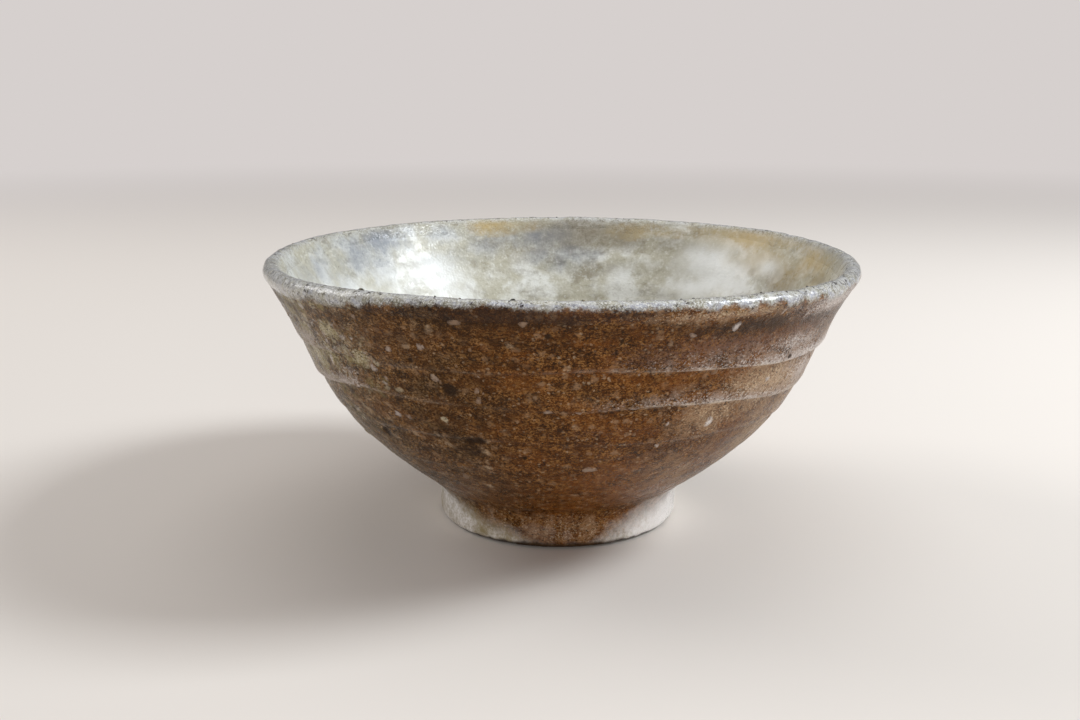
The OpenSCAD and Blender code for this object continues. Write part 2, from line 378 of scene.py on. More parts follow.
def relief(section, shape, turn, run):
    """How far the hand's marks push the surface out: ledges and turning lines outside, soft rings inside,
    and finger dents everywhere, all fading at the lip, the joint and the centre."""
    r, z = section.at(run)[:2]
    place = turned(turn, r, z)
    centre_fade = 1 - smooth(run, section.end - 8 * MM, section.end - 1 * MM)
    outside = smooth(run, section.joint + 1 * MM, section.joint + 5 * MM) \
        * (1 - smooth(run, section.lip_out - 4 * MM, section.lip_out))
    inside = smooth(run, section.lip_in + 2 * MM, section.lip_in + 8 * MM) * centre_fade
    lines = 0.035 * MM * np.sin(z / (1.9 * MM) * 2 * math.pi / 1.6 + 1.5 * np.sin(turn)) \
        * (0.5 + 0.5 * around_noise(turn, z, 22 * MM, 6 * MM, 5))
    rings = 0.12 * MM * np.sin(2 * math.pi * (run / (7.5 * MM) - turn / (2 * math.pi)))
    dents = shape.dent * cell_noise(place, 17 * MM, 11) + 0.3 * shape.dent * cell_noise(place, 5 * MM, 12)
    lip_wobble = (0.10 * cell_noise(place, 3.5 * MM, 13) + 0.06 * cell_noise(place, 1.0 * MM, 15)) * MM \
        * np.exp(-((run - section.crest) / (4 * MM)) ** 2)
    fine = 0.022 * MM * cell_noise(place, 1.5 * MM, 14)
    return outside * (ledge_relief(turn, z) + lines - 0.3 * MM * pit_depth(turn, z)) + inside * rings \
        + (outside + inside * 0.7) * dents + (lip_wobble + fine) * centre_fade


# Rise of the rim over its true level, in millimetres, at turns in degrees.
RIM_RISE = ((-180, -120, -80, -60, -44, -28, -10, 5, 20, 34, 46, 62, 90, 130, 180),
            (0.1, 0.1, -0.45, -0.5, -0.2, 0.2, 0.3, 0.25, 0.0, -0.35, -0.8, -1.0, -0.6, 0.0, 0.1))


def rounded_table(turn, table):
    """Values between the columns of a table of turns in degrees, with a cubic ease from one to the next."""
    degrees = (np.degrees(turn) + 180) % 360 - 180
    places, values = (np.array(row, float) for row in table)
    after = np.clip(np.searchsorted(places, degrees), 1, len(places) - 1)
    x = (degrees - places[after - 1]) / (places[after] - places[after - 1])
    return values[after - 1] + (values[after] - values[after - 1]) * x * x * (3 - 2 * x)


def by_hand(points, shape):
    """Takes the true form out of round: the rim waves up and down, it is slightly oval and stands a little
    to one side of the foot, and the belly is fuller on that side."""
    x, y, z = points[..., 0], points[..., 1], points[..., 2]
    turn = np.arctan2(x, -y)
    up = np.clip(z / shape.height, 0, 1.1)
    oval = 1 + up ** 2 * 0.003 * np.cos(2 * turn + 0.5)
    belly = np.exp(-((z / MM - 30) / 13) ** 2)
    side = shape.rim_shift * (smooth(up, 0.1, 1.0) + 0.7 * belly)
    return np.stack([x * oval + side, y * oval, z + up ** 3 * rounded_table(turn, RIM_RISE) * MM], axis=-1)


def surface(section, shape, turn, run, lift):
    """Points on the bowl: the half-section turned by the angle, pushed out along its own normal by the
    hand's marks and by lift, then taken out of true."""
    turn = turn + 0 * run
    r, z, out_r, out_z = section.at(run)
    push = relief(section, shape, turn, run) + lift
    radius = np.clip(r + out_r * push, 0, None)
    radius = np.where(run >= section.end - 2 * SECTION_STEP, 0, radius)
    return by_hand(turned(turn, radius, z + out_z * push), shape)


# ---------------------------------------------------------------- meshes

def turns(columns=AROUND):
    """Turns of the columns, one row: even steps less a third of their sine, so they crowd in front."""
    even = np.arange(columns) / columns * 2 * math.pi
    return (even - 0.34 * np.sin(even))[None, :]


def make_piece(name, points, wrap_rows=False, zones=None):
    """Mesh over a grid whose rows follow the section and whose columns go round: each face joins four
    neighbours, and a row that has shrunk to a point on the axis is one vertex with triangles round it."""
    rows, columns = points.shape[:2]
    ids = np.arange(rows * columns).reshape(rows, columns)
    shrunk = np.ptp(points, axis=1).max(axis=1) < 1e-8
    ids[shrunk] = ids[shrunk, :1]
    below = ids if wrap_rows else ids[:-1]
    above = np.roll(ids, -1, axis=0) if wrap_rows else ids[1:]
    quads = np.stack([below, np.roll(below, -1, 1), np.roll(above, -1, 1), above], axis=-1).reshape(-1, 4)
    flat_low, flat_high = quads[:, 0] == quads[:, 1], quads[:, 2] == quads[:, 3]
    faces = [quads[~flat_low & ~flat_high], quads[flat_low & ~flat_high][:, [0, 2, 3]],
             quads[~flat_low & flat_high][:, [0, 1, 2]]]
    return mesh_object(name, points.reshape(-1, 3), faces, zones)


def mesh_object(name, points, faces, zones=None):
    """Object of these points and arrays of faces, smooth, with its zones as vertex attributes."""
    used, numbered = np.unique(np.concatenate([group.ravel() for group in faces]), return_inverse=True)
    corners, start = [], 0
    for group in faces:
        corners.extend(numbered[start: start + group.size].reshape(group.shape).tolist())
        start += group.size
    mesh = bpy.data.meshes.new(name)
    mesh.from_pydata(points[used].tolist(), [], corners)
    mesh.polygons.foreach_set("use_smooth", np.ones(len(mesh.polygons), bool))
    for zone, values in (zones or {}).items():
        layer = mesh.attributes.new(zone, "FLOAT", "POINT")
        layer.data.foreach_set("value", values.ravel()[used].astype(np.float32))
    mesh.update()
    made = bpy.data.objects.new(name, mesh)
    bpy.context.scene.collection.objects.link(made)
    return made


def settle(piece, node, slot, name, finish, *palettes):
    """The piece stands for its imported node, rides on the body and gets a material of that name."""
    piece.data.materials.append(finish_material(name, finish, *palettes))
    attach(piece, BODY)
    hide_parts(node)


def shell(section, shape, turn, low, high, rows, thickness, depth, lifted=0.0, soft=(1.2 * MM, 1.2 * MM)):
    """Closed skin of glaze between two runs that vary with the turn. Its face lies at the lift given and
    dips under its neighbours at both edges; its back lies in the clay. Rows crowd where rows says."""
    shares = rows[:, None]
    run = low + (high - low) * shares
    edge = np.minimum((run - low) / soft[0], (high - run) / soft[1])
    face_lift = lifted - (thickness + lifted) * EDGE_DIP * (1 - smooth(edge, 0, 1))
    face = surface(section, shape, turn, run, face_lift)
    back_run = low + (high - low) * np.linspace(1, 0, BACK_ROWS)[:, None]
    back = surface(section, shape, turn, back_run, -depth)
    return np.concatenate([face, back]), np.concatenate([run, back_run])


# ---------------------------------------------------------------- pieces

def crowded_rows(low, high, count, lines, width=1.3 * MM, extra=3.0):
    """Shares from 0 to 1 whose steps are shorter near these runs."""
    fine = np.linspace(low, high, 4000)
    density = 1 + extra * sum(np.exp(-((fine - line) / width) ** 2) for line in lines)
    travelled = np.concatenate([[0], np.cumsum((density[1:] + density[:-1]) / 2)])
    return np.interp(np.linspace(0, 1, count), travelled / travelled[-1], (fine - low) / (high - low))


# Soft patches outside, each (turn in degrees, height, half width in degrees, half height, strength 0 to 1);
# some rows stand for painted sheen, shade and light, as noted at each table.
# Ash, partly painted sheen: the broad rows on the left flank also stand for its grazing reflection.
ASH_AND_SHEEN = ((-84, 32, 17, 24, 0.75), (-58, 44, 12, 10, 0.74), (-48, 50.5, 9, 2.8, 0.66), (-43, 46.0, 8, 2.4, 0.64),
       (-57, 39.2, 15, 1.5, 0.9), (-56, 33, 9, 5, 0.5), (-52, 56.4, 15, 1.8, 0.62), (-70, 22, 15, 9, 0.5),
       (-34, 33, 8, 3, 0.16), (-41, 41, 7, 4, 0.26), (-112, 46, 24, 12, 0.85), (-150, 31, 26, 10, 0.6),
       (27, 57.3, 13, 1.1, 0.5), (165, 44, 30, 9, 0.7), (112, 24, 22, 8, 0.4), (-105, 20, 20, 6, 0.6))
BLOOM = ((76, 46.5, 12, 2, 0.35), (57, 56.2, 13, 2.1, 0.85), (58, 41, 10, 4, 0.4), (48, 48.4, 14, 2.4, 0.5),
         (26, 48.4, 10, 2.0, 0.22), (-60, 47.4, 8, 1.8, 0.5), (-48, 42.4, 5, 1.2, 0.4),
         (-128, 38, 22, 10, 0.45), (126, 50, 20, 4, 0.6), (-170, 40, 16, 2, 0.5))
# Beige, partly painted light: the broad row on the right flank is painted sheen, and the row low on the foot
# is painted light.
BEIGE = ((82, 32, 30, 26, 0.6), (47, 40.5, 18, 6.5, 0.82), (54, 28, 14, 13, 0.55), (32, 36, 14, 6, 0.5),
         (34, 22, 16, 9, 0.32), (27, 57.0, 16, 1.4, 0.62), (4, 4, 34, 5, 0.35), (6, 40.4, 14, 1.6, 0.24),
         (44, 15, 22, 5, 0.30), (18, 30, 10, 6, 0.14), (140, 41, 26, 5, 0.6), (-150, 50, 22, 3, 0.5),
         (105, 30, 24, 8, 0.5), (180, 24, 30, 5, 0.35))
# Mauve, partly painted sheen: the rows low on the right flank also stand for its grazing reflection.
MAUVE = ((30, 50.6, 16, 2.9, 0.6), (52, 52, 12, 2.6, 0.6), (18, 49.4, 10, 2.4, 0.5), (-36, 46.2, 8, 1.6, 0.3),
         (50, 28, 20, 10, 0.5), (66, 36, 14, 14, 0.5), (10, 33, 12, 2.4, 0.25), (26, 30, 12, 7, 0.3),
         (110, 47, 20, 3, 0.6), (-175, 30, 24, 6, 0.5))
# Orange-brown blush, partly painted light: the narrow rows just under the upper ledges are painted shade, and
# the rows low on the hip and foot are painted light where the bowl shades itself.
EMBER_AND_PAINTED_LIGHT = ((32, 44.2, 16, 1.1, 0.9), (22, 43.6, 14, 1.3, 0.6), (4, 52.4, 3.5, 0.9, 1.0),
         (-2, 53.6, 16, 1.4, 0.3), (14, 16, 30, 7, 0.7), (0, 5, 36, 6, 0.6), (-4, 12, 40, 4, 0.6),
         (-20, 13, 16, 4, 0.4),
         (26, 36.4, 14, 1.1, 0.4), (8, 27, 14, 6, 0.4), (-48, 50.5, 10, 2.0, 0.3), (-44, 34.5, 10, 1.6, 0.35),
         (140, 34, 26, 5, 0.6), (-165, 48, 20, 3, 0.5))
# Soot, partly painted shade: the rows just under the lip darken the wall where the lip's bead shades it.
SOOT_AND_SHADE = ((-11, 57.0, 24, 2.8, 1.0), (-15, 53.0, 14, 3.0, 0.45), (34, 54.2, 16, 1.8, 1.0),
        (52, 53.8, 12, 1.8, 0.85), (67, 52.4, 13, 3.8, 1.0), (-76, 53.5, 14, 3.4, 0.5),
        (10, 55.5, 14, 2.0, 0.4), (-22, 42, 16, 24, 0.44), (-24, 32, 11, 7, 0.66), (-30, 53, 8, 4, 0.5),
        (-14, 36.5, 10, 5, 0.5),
        (-46, 16, 10, 4, 0.4), (66, 55.6, 12, 1.3, 0.5), (96, 54, 22, 2.4, 0.8), (180, 55.6, 50, 1.8, 0.9),
        (-98, 55.6, 24, 1.4, 0.6), (150, 20, 30, 6, 0.3))
OLIVE = ((-62, 36, 30, 60, 1.0), (-30, 30, 14, 60, 0.5), (-120, 36, 40, 60, 0.7), (160, 36, 30, 60, 0.4))
OUTSIDE = {"ash": ASH_AND_SHEEN, "bloom": BLOOM, "beige": BEIGE, "mauve": MAUVE, "ember_and_painted_light": EMBER_AND_PAINTED_LIGHT, "soot_and_shade": SOOT_AND_SHADE,
           "olive": OLIVE}

# Soft patches inside, in the same form.
INSIDE = {
    "blue": ((-134, 56.8, 9, 3.6, 1.0), (-147, 56.4, 8, 3, 0.55), (-174, 55.2, 9, 3, 0.45),
             (-120, 54, 14, 6, 0.4), (-150, 51, 14, 3, 0.5), (-98, 54, 12, 4, 0.5), (178, 50, 12, 3, 0.5)),
    "ochre": ((124, 58.2, 20, 3.0, 0.9), (117, 54, 11, 4, 0.75), (100, 56, 16, 5, 0.7),
              (-166, 58.4, 8, 1.9, 0.55), (152, 57, 12, 2, 0.4), (30, 50, 30, 6, 0.5)),
    "umber": ((172, 56, 20, 4.5, 0.9), (-172, 52, 12, 4, 0.5), (150, 54, 10, 4, 0.6), (108, 50, 10, 5, 0.6),
              (0, 46, 40, 8, 0.4)),
    # The white cloud at -146 degrees is painted highlight beside the glaze's own highlight.
    "cloud_and_highlight": ((139, 51, 8, 4, 1.0), (129, 48, 7, 4, 0.9), (139, 44, 7, 3, 0.9), (163, 47, 4, 2.2, 0.9),
              (116, 52.4, 5, 2.4, 0.9), (-146, 47, 9, 6, 0.9), (-120, 43, 24, 5, 0.6), (-84, 48, 20, 6, 0.55),
              (-70, 40, 34, 10, 0.6), (60, 30, 40, 8, 0.4)),
}

# Where the foot's coat is whitest, in the same form; at the right its white is partly painted highlight.
MILK = ((58, 0, 36, 1, 0.7), (150, 0, 40, 1, 0.4), (-66, 0, 14, 1, 0.3))

# Bloom that gathered on the upper side of the two upper ledges: strength at turns in degrees.
LEDGE_BLOOM = (((-180, -130, -80, -50, -30, 0, 14, 26, 36, 44, 58, 76, 100, 140, 180),
                (0.4, 0.5, 0.5, 0.35, 0.0, 0.0, 0.20, 0.42, 0.58, 0.80, 0.84, 0.7, 0.7, 0.6, 0.4)),
               ((-180, -130, -80, -60, -48, -40, 0, 14, 30, 46, 66, 100, 140, 180),
                (0.5, 0.4, 0.5, 0.75, 0.75, 0.0, 0.05, 0.30, 0.58, 0.55, 0.4, 0.4, 0.6, 0.5)))


def outside_zones(turn, height):
    """Where the fire and the ash left their colours outside, by turn and height, with painted sheen, shade
    and
    light among them: soft patches with uneven borders, pale lines that break off along the ledges and are
    partly painted highlight, pits, and where the skirt covers the foot."""
    turn = turn + 0 * height
    wide = around_noise(turn, height, 11 * MM, 5 * MM, 31)
    fine = around_noise(turn, height, 3 * MM, 1.6 * MM, 32)
    uneven = 0.13 * wide + 0.09 * fine
    zones = {}
    for name, rows in OUTSIDE.items():
        amount = patches(turn, height, rows)
        zones[name] = np.clip(amount + uneven * np.clip(amount * 3, 0, 1), 0, 1)
    # The edge zone is the pale line along each ledge's crest, partly painted highlight.
    edge = np.zeros(turn.shape)
    for k, (line, strength) in enumerate(ledge_lines(turn)):
        if k < 2:
            above = (height - line) / MM
            gathered = smooth(above, -0.15, 0.2) * np.exp(-(np.clip(above, 0, None) / (2.8 - 0.4 * k)) ** 1.7)
            here = rounded_table(turn, LEDGE_BLOOM[k]) * gathered
            zones["bloom"] = np.maximum(zones["bloom"], np.clip(here * (1 + 0.25 * wide + 0.15 * fine), 0, 1))
        broken = 0.25 + 0.75 * smooth(turn_noise(turn, 3.4 * MM, 41 + k), -0.6, 0.3)
        width = (0.38 + 0.14 * turn_noise(turn, 5 * MM, 45 + k)) * MM
        near = np.exp(-((height - line - 0.1 * MM) / width) ** 2) * (1 - 0.6 * turn_patch(turn, 2, 16))
        edge = np.maximum(edge, near * broken * np.clip(strength / (0.34 * MM), 0, 1) ** 2)
    zones["edge"] = edge
    zones["pit"] = pit_depth(turn, height)
    zones["skirt"] = skirt(turn, height)
    return zones


# Drop of the pale lip glaze below the crest, in millimetres along the surface, at turns in degrees.
LIP_DROP = ((-180, -100, -80, -60, -40, -22, 0, 18, 34, 50, 66, 100, 180),
            (4.4, 4.2, 3.8, 3.5, 2.8, 1.7, 1.6, 1.7, 1.8, 2.0, 2.4, 3.4, 4.4))


def lip_cover(section, turn, run):
    """Cover of the pale lip glaze: whole on the crest, and gone past its drop with a ragged edge."""
    drop = rounded_table(turn, LIP_DROP)
    drips = 0.5 * turn_noise(turn, 3.2 * MM, 51) + 0.25 * turn_noise(turn, 1.1 * MM, 52)
    sides = np.maximum(turn_patch(turn, -56, 24), turn_patch(turn, 46, 28))
    level = drop + drips * (0.5 + 2.0 * sides)
    below = (section.crest - run) / MM
    return 1 - smooth(below, level - 1.2, level + 1.0 + 1.6 * sides)


# Lower edge of the brown skirt on the foot, in millimetres, at turns in degrees.
SKIRT_EDGE = ((-180, -110, -84, -60, -46, -27, -14, 0, 12, 24, 44, 60, 74, 110, 180),
              (8.8, 8.8, 8.4, 7.2, 5.8, 3.2, 0.4, -2.6, -2.2, 1.6, 5.2, 7.8, 8.8, 8.8, 8.8))


def skirt(turn, height):
    """Cover of the brown skirt on the foot: a blurred edge, wider at the right."""
    drips = 0.5 * turn_noise(turn, 15 * MM, 61) + 0.3 * turn_noise(turn, 6.5 * MM, 62)
    level = rounded_table(turn, SKIRT_EDGE) + drips
    blur = 1.9 + 1.9 * turn_patch(turn, 42, 34)
    faded = np.clip((height / MM - level + blur) / (2.5 * blur), 0, 1)
    return np.maximum(faded, smooth(height / MM, 9.0, 12.0))


class PieceOperator:
    """What every piece's operator shares."""
    bl_options = {"REGISTER", "UNDO"}

    def execute(self, context):
        settings = context.scene
        section = Section(settings.tea_bowl_shape)
        self.build(section, settings.tea_bowl_shape, settings.tea_bowl_glaze, settings.tea_bowl_clay)
        return {"FINISHED"}


class TEABOWL_OT_clay_wall(PieceOperator, bpy.types.Operator):
    """Clay wall and floor: one closed turned body under the glazes, with the nib and turned rings below"""
    bl_idname = "tea_bowl.clay_wall"
    bl_label = "Clay Wall"

    def build(self, section, shape, glaze, clay):
        """Rows: across the recess's ceiling with its rings, up the foot's seat, then the glazed outline
        less the glaze's thickness. The nib is a low cosine bump and the rings are shallow sine grooves."""
        turn = turns(400)
        inner_r = shape.foot_radius - shape.foot_thickness
        radius = np.linspace(0, inner_r, 60)[:, None]
        nib_r = 4 * MM
        nib = shape.nib_height * 0.5 * (1 + np.cos(math.pi * np.clip(radius / nib_r, 0, 1)))
        spiral = np.sin(2 * math.pi * (radius / (3.3 * MM)) + turn)
        grooves = 0.14 * MM * spiral * smooth(radius, 3 * MM, 6 * MM) \
            * (1 - smooth(radius, 0.8 * inner_r, inner_r))
        ceiling = by_hand(turned(turn, radius, shape.recess_height - nib + grooves), shape)
        run = np.concatenate([np.linspace(section.joint + 0.2 * MM, section.crest, 130)[:-1],
                              np.linspace(section.crest, section.end, 50)])[:, None]
        fade = smooth(run, section.joint, section.joint + 3 * MM)
        depth = np.where(run < section.lip_out, (glaze.outer_thickness + 0.5 * MM) * fade + 0.03 * MM,
                         glaze.inner_thickness + 0.1 * MM)
        over_lip = smooth(run, section.lip_out - 2 * MM, section.lip_out) \
            * (1 - smooth(run, section.lip_in, section.lip_in + 2 * MM))
        depth = depth + (glaze.lip_thickness - depth) * over_lip
        body = surface(section, shape, turn, run, -depth)
        piece = make_piece("clay_wall", np.concatenate([ceiling, body]))
        settle(piece, "bowl_wall", "clay_body", "Bare buff clay", clay_finish, clay)


class TEABOWL_OT_foot_ring(PieceOperator, bpy.types.Operator):
    """Foot ring: a turned ring with soft edges, worn and nicked where it stands"""
    bl_idname = "tea_bowl.foot_ring"
    bl_label = "Foot Ring"

    def build(self, section, shape, glaze, clay):
        """Rows go round the ring's section: up the outside, in along the seat, down the inside and across the
        base. The base edge is rounded by a quarter superellipse and nicked by cell noise."""
        turn = turns()
        outer, height = shape.foot_radius, shape.foot_height
        inner = outer - shape.foot_thickness
        draft, rounding, bevel = 0.7 * MM, 1.7 * MM, 0.8 * MM
        quarter = np.linspace(0, math.pi / 2, 12)
        edge_out = np.stack([outer - rounding + rounding * np.sin(quarter) ** 0.9,
                             rounding - rounding * np.cos(quarter) ** 0.9], axis=-1)
        up = np.linspace(rounding, height - shape.joint_fillet, 24)[1:]
        side = np.stack([outer + 0 * up, up], axis=-1)
        edge_in = np.stack([inner + draft + bevel - bevel * np.sin(quarter[::-1]) ** 0.9,
                            bevel - bevel * np.cos(quarter[::-1]) ** 0.9], axis=-1)
        top = np.array([inner, shape.recess_height])
        way = np.linspace(0, 1, 10)[:, None]
        seat = np.array([outer, height]) * (1 - way) + top * way
        wall = np.linspace(0, 1, 14)[1:-1, None]
        inside = top * (1 - wall) + np.array([inner + draft, bevel]) * wall
        base = np.linspace(0, 1, 8)[1:-1, None]
        across = edge_in[-1] * (1 - base) + edge_out[0] * base
        ring = np.concatenate([edge_out, side, seat, inside, edge_in, across])
        r, z = ring[:, :1], ring[:, 1:]
        fillet = smooth(z, height - shape.joint_fillet, height) * (r > outer - 0.1 * MM)
        place = turned(turn, r, z)
        wobble = 0.16 * MM * cell_noise(place, 6 * MM, 71) + 0.05 * MM * cell_noise(place, 1.6 * MM, 72)
        near_base = 1 - smooth(z, 0.2 * MM, 2.2 * MM)
        nicks = np.clip(cell_noise(place, 2.6 * MM, 73) - 0.25, 0, None) * 0.55 * MM * near_base
        free = 1 - smooth(z, height - 2.6 * MM, height - 1.6 * MM)
        outward = np.where(r > (inner + outer) / 2, 1, -1)
        barrel = 0.18 * MM * np.sin(math.pi * np.clip(z / (7 * MM), 0, 1)) * (outward > 0)
        radius = r + fillet * 0.25 * MM + barrel + outward * (wobble * free - nicks)
        raised = z + np.where(z < 0.05 * MM, np.clip(nicks, 0, None) * 0.5, 0)
        points = by_hand(turned(turn, radius, raised), shape)
        bare = smooth(outer - r, 0.9 * MM, 1.9 * MM) + 0 * turn
        zones = {"bare": bare, "milk": foot_milk(turn, z), "scorch_and_contact_shade": scorch_and_contact_shade(turn, z) * (1 - bare),
                 **outside_zones(turn, z)}
        piece = make_piece("foot_ring_turned", points, wrap_rows=True, zones=zones)
        settle(piece, "foot_ring", "foot_clay", "Foot ring coat", foot_finish, glaze, clay)


def foot_milk(turn, height):
    """How white the foot's coat is: smooth white at the right, there partly painted highlight, mottled olive
    at the left.
    """
    return np.clip(0.3 + patches(turn, 0 * height, MILK), 0, 1)


def scorch_and_contact_shade(turn, height):
    """Dark line along the foot's base, partly worn and partly painted contact shadow, broken by noise and
    widest in front.
    """
    front = turn_patch(turn, 0, 34)
    level = 0.25 + 0.9 * front + 0.3 * turn_noise(turn, 2.6 * MM, 75)
    return 1 - smooth(height / MM, level - 0.3, level + 0.4 + 0.5 * front)


class TEABOWL_OT_brown_glaze(PieceOperator, bpy.types.Operator):
    """Brown ash glaze: a thin closed skin over the outside, with the ledges in relief"""
    bl_idname = "tea_bowl.brown_glaze"
    bl_label = "Brown Glaze"

    def build(self, section, shape, glaze, clay):
        turn = turns()
        low = section.joint + (1.2 + 0.3 * np.sin(4 * turn)) * MM
        high = section.lip_out - 0.4 * MM + 0 * turn
        lines = [section.run_at(height * MM) for height in (45.4, 37.6, 29.8)]
        rows = crowded_rows(section.joint, section.lip_out, 138, lines)
        points, run = shell(section, shape, turn, low, high, rows, glaze.outer_thickness,
                            glaze.outer_thickness + 0.8 * MM)
        zones = outside_zones(turn, section.at(run)[1])
        zones["pale"] = lip_cover(section, turn, run)
        piece = make_piece("brown_glaze", points, wrap_rows=True, zones=zones)
        settle(piece, "outer_glaze", "brown_ash_glaze", "Brown ash glaze", brown_finish, glaze)


class TEABOWL_OT_foot_run(PieceOperator, bpy.types.Operator):
    """Skirt of brown glaze that ran over the joint and down the front of the foot"""
    bl_idname = "tea_bowl.foot_run"
    bl_label = "Foot Run"

    def build(self, section, shape, glaze, clay):
        turn = turns()
        reach = np.clip(rounded_table(turn, SKIRT_EDGE) - 1.1, 0.5, 7.0) * MM
        low = section.run_at(reach)
        high = section.joint + 5 * MM + 0 * turn
        rows = np.linspace(0, 1, 60)
        points, run = shell(section, shape, turn, low, high, rows, 0.3 * MM, 0.55 * MM,
                            lifted=0.14 * MM, soft=(1.6 * MM, 1.6 * MM))
        height = section.at(run)[1]
        zones = outside_zones(turn, height)
        zones["milk"], zones["scorch_and_contact_shade"] = foot_milk(turn, height), scorch_and_contact_shade(turn, height)
        piece = make_piece("brown_foot_run", points, wrap_rows=True, zones=zones)
        settle(piece, "foot_glaze_run", "brown_ash_glaze", "Brown ash glaze run", skirt_finish, glaze, clay)


class TEABOWL_OT_lip_glaze(PieceOperator, bpy.types.Operator):
    """Grey-white glaze rolled over the lip, with a scalloped lower edge outside"""
    bl_idname = "tea_bowl.lip_glaze"
    bl_label = "Lip Glaze"

    def build(self, section, shape, glaze, clay):
        turn = turns(1000)
        low = section.lip_out - (1.6 + 0.4 * turn_noise(turn, 6 * MM, 90)) * MM
        high = section.lip_in + (4.4 + 0.8 * turn_noise(turn, 7 * MM, 91)) * MM
        rows = np.linspace(0, 1, 72)
        points, run = shell(section, shape, turn, low, high, rows, glaze.lip_thickness * 0.4,
                            glaze.lip_thickness + 0.2 * MM, lifted=0.08 * MM, soft=(1.0 * MM, 3.2 * MM))
        height = section.at(run)[1]
        zones = outside_zones(turn, height)
        zones["pale"] = lip_cover(section, turn, run)
        zones["inward"] = smooth(run, section.crest + 0.4 * MM, section.lip_in + 1.0 * MM)
        zones.update(inside_zones(turn, height))
        piece = make_piece("lip_glaze", points, wrap_rows=True, zones=zones)
        settle(piece, "rim_glaze", "lip_ash_glaze", "Lip ash glaze", lip_finish, glaze)


def inside_zones(turn, height):
    """Clouds of the glaze inside, by turn and height, one white cloud of them painted highlight."""
    turn = turn + 0 * height
    wide = around_noise(turn, height, 10 * MM, 8 * MM, 33)
    zones = {}
    for name, rows in INSIDE.items():
        amount = patches(turn, height, rows)
        zones[name] = np.clip(amount + 0.3 * wide * (amount > 0.05), 0, 1)
    return zones


class TEABOWL_OT_inner_glaze(PieceOperator, bpy.types.Operator):
    """Pale glaze lining: a closed skin from under the lip to the well, a little thicker where it pooled"""
    bl_idname = "tea_bowl.inner_glaze"
    bl_label = "Inner Glaze"

    def build(self, section, shape, glaze, clay):
        turn = turns()
        low, high = section.lip_in - 0.6 * MM, section.end
        shares = np.linspace(0, 1, 140)[:, None]
        run = low + (high - low) * shares
        pool = 0.12 * MM * smooth(run, section.well - 3 * MM, section.well + 4 * MM)
        lift = pool - 0.3 * MM * (1 - smooth(run - low, 0, 1.2 * MM))
        face = surface(section, shape, turn, run, lift)
        back_run = low + (high - low) * np.linspace(1, 0, 12)[:, None]
        back = surface(section, shape, turn, back_run, -glaze.inner_thickness - 0.25 * MM)
        runs = np.concatenate([run, back_run])
        zones = inside_zones(turn, section.at(runs)[1])
        zones["pool"] = smooth(runs, section.well - 6 * MM, section.well + 6 * MM) + 0 * turn
        piece = make_piece("inner_glaze_lining", np.concatenate([face, back]), wrap_rows=True, zones=zones)
        settle(piece, "inner_glaze", "inner_ash_glaze", "Inner ash glaze", inner_finish, glaze)


# Stones that stand out in front: turn in degrees, then height, width, length up the wall and rise in
# millimetres, then whiteness.
SEEN_STONES = (
    (31.5, 33.6, 2.6, 3.0, 0.24, 1.0), (6.0, 24.0, 3.9, 3.2, 0.08, 0.45), (20.5, 29.4, 1.3, 1.8, 0.16, 0.7),
    (-25.5, 50.4, 2.5, 1.9, 0.14, 0.55), (-38.5, 44.3, 2.8, 2.2, 0.2, 0.7), (-52, 43.9, 1.5, 3.1, 0.22, 0.9),
    (-32.5, 49.2, 2.1, 1.9, 0.14, 0.6), (-3.5, 38.1, 2.2, 1.4, 0.1, 0.5), (2.5, 37.9, 1.7, 1.4, 0.1, 0.45),
    (7.5, 38.2, 1.4, 1.4, 0.1, 0.4), (-27.5, 19.8, 2.5, 3.4, 0.1, 0.3), (29.0, 54.4, 2.3, 2.7, 0.22, 0.85),
    (21, 53.3, 2.2, 1.5, 0.14, 0.45), (21.0, 34.6, 1.0, 1.6, 0.14, 0.7), (-24.5, 44.0, 2.2, 2.5, 0.12, 0.45),
    (-16.5, 42.1, 1.3, 2.2, 0.1, 0.35), (-16.5, 40, 1.7, 2.2, 0.1, 0.35), (-58.5, 46.3, 2.2, 2.0, 0.18, 0.7),
    (-6.8, 56.2, 2.3, 2.4, 0.1, 0.3), (-17.8, 56.0, 3.0, 2.7, 0.1, 0.3), (44.0, 41.2, 1.6, 1.9, 0.18, 0.8),
    (46.0, 55.2, 1.1, 2.8, 0.2, 0.8), (38.5, 56.6, 1.4, 2.3, 0.16, 0.6), (52.0, 40.2, 1.3, 2.5, 0.16, 0.6),
    (13.0, 38.5, 3.0, 1.8, 0.1, 0.6), (-36.0, 42.5, 1.4, 1.4, 0.12, 0.5), (-50.0, 49.6, 1.6, 2.5, 0.14, 0.6),
)

# Crumbs of grit seen on the lip: turn in degrees, then run past the crest and size in millimetres.
SEEN_CRUMBS = ((-17.0, 0.2, 0.5), (-8.5, 0.7, 1.0), (2.5, 0.5, 0.6), (18.5, 0.6, 0.5),
               (20.5, 0.4, 0.5), (34.0, 0.5, 0.7), (36.5, 0.3, 0.5), (-36.0, 0.6, 0.9))


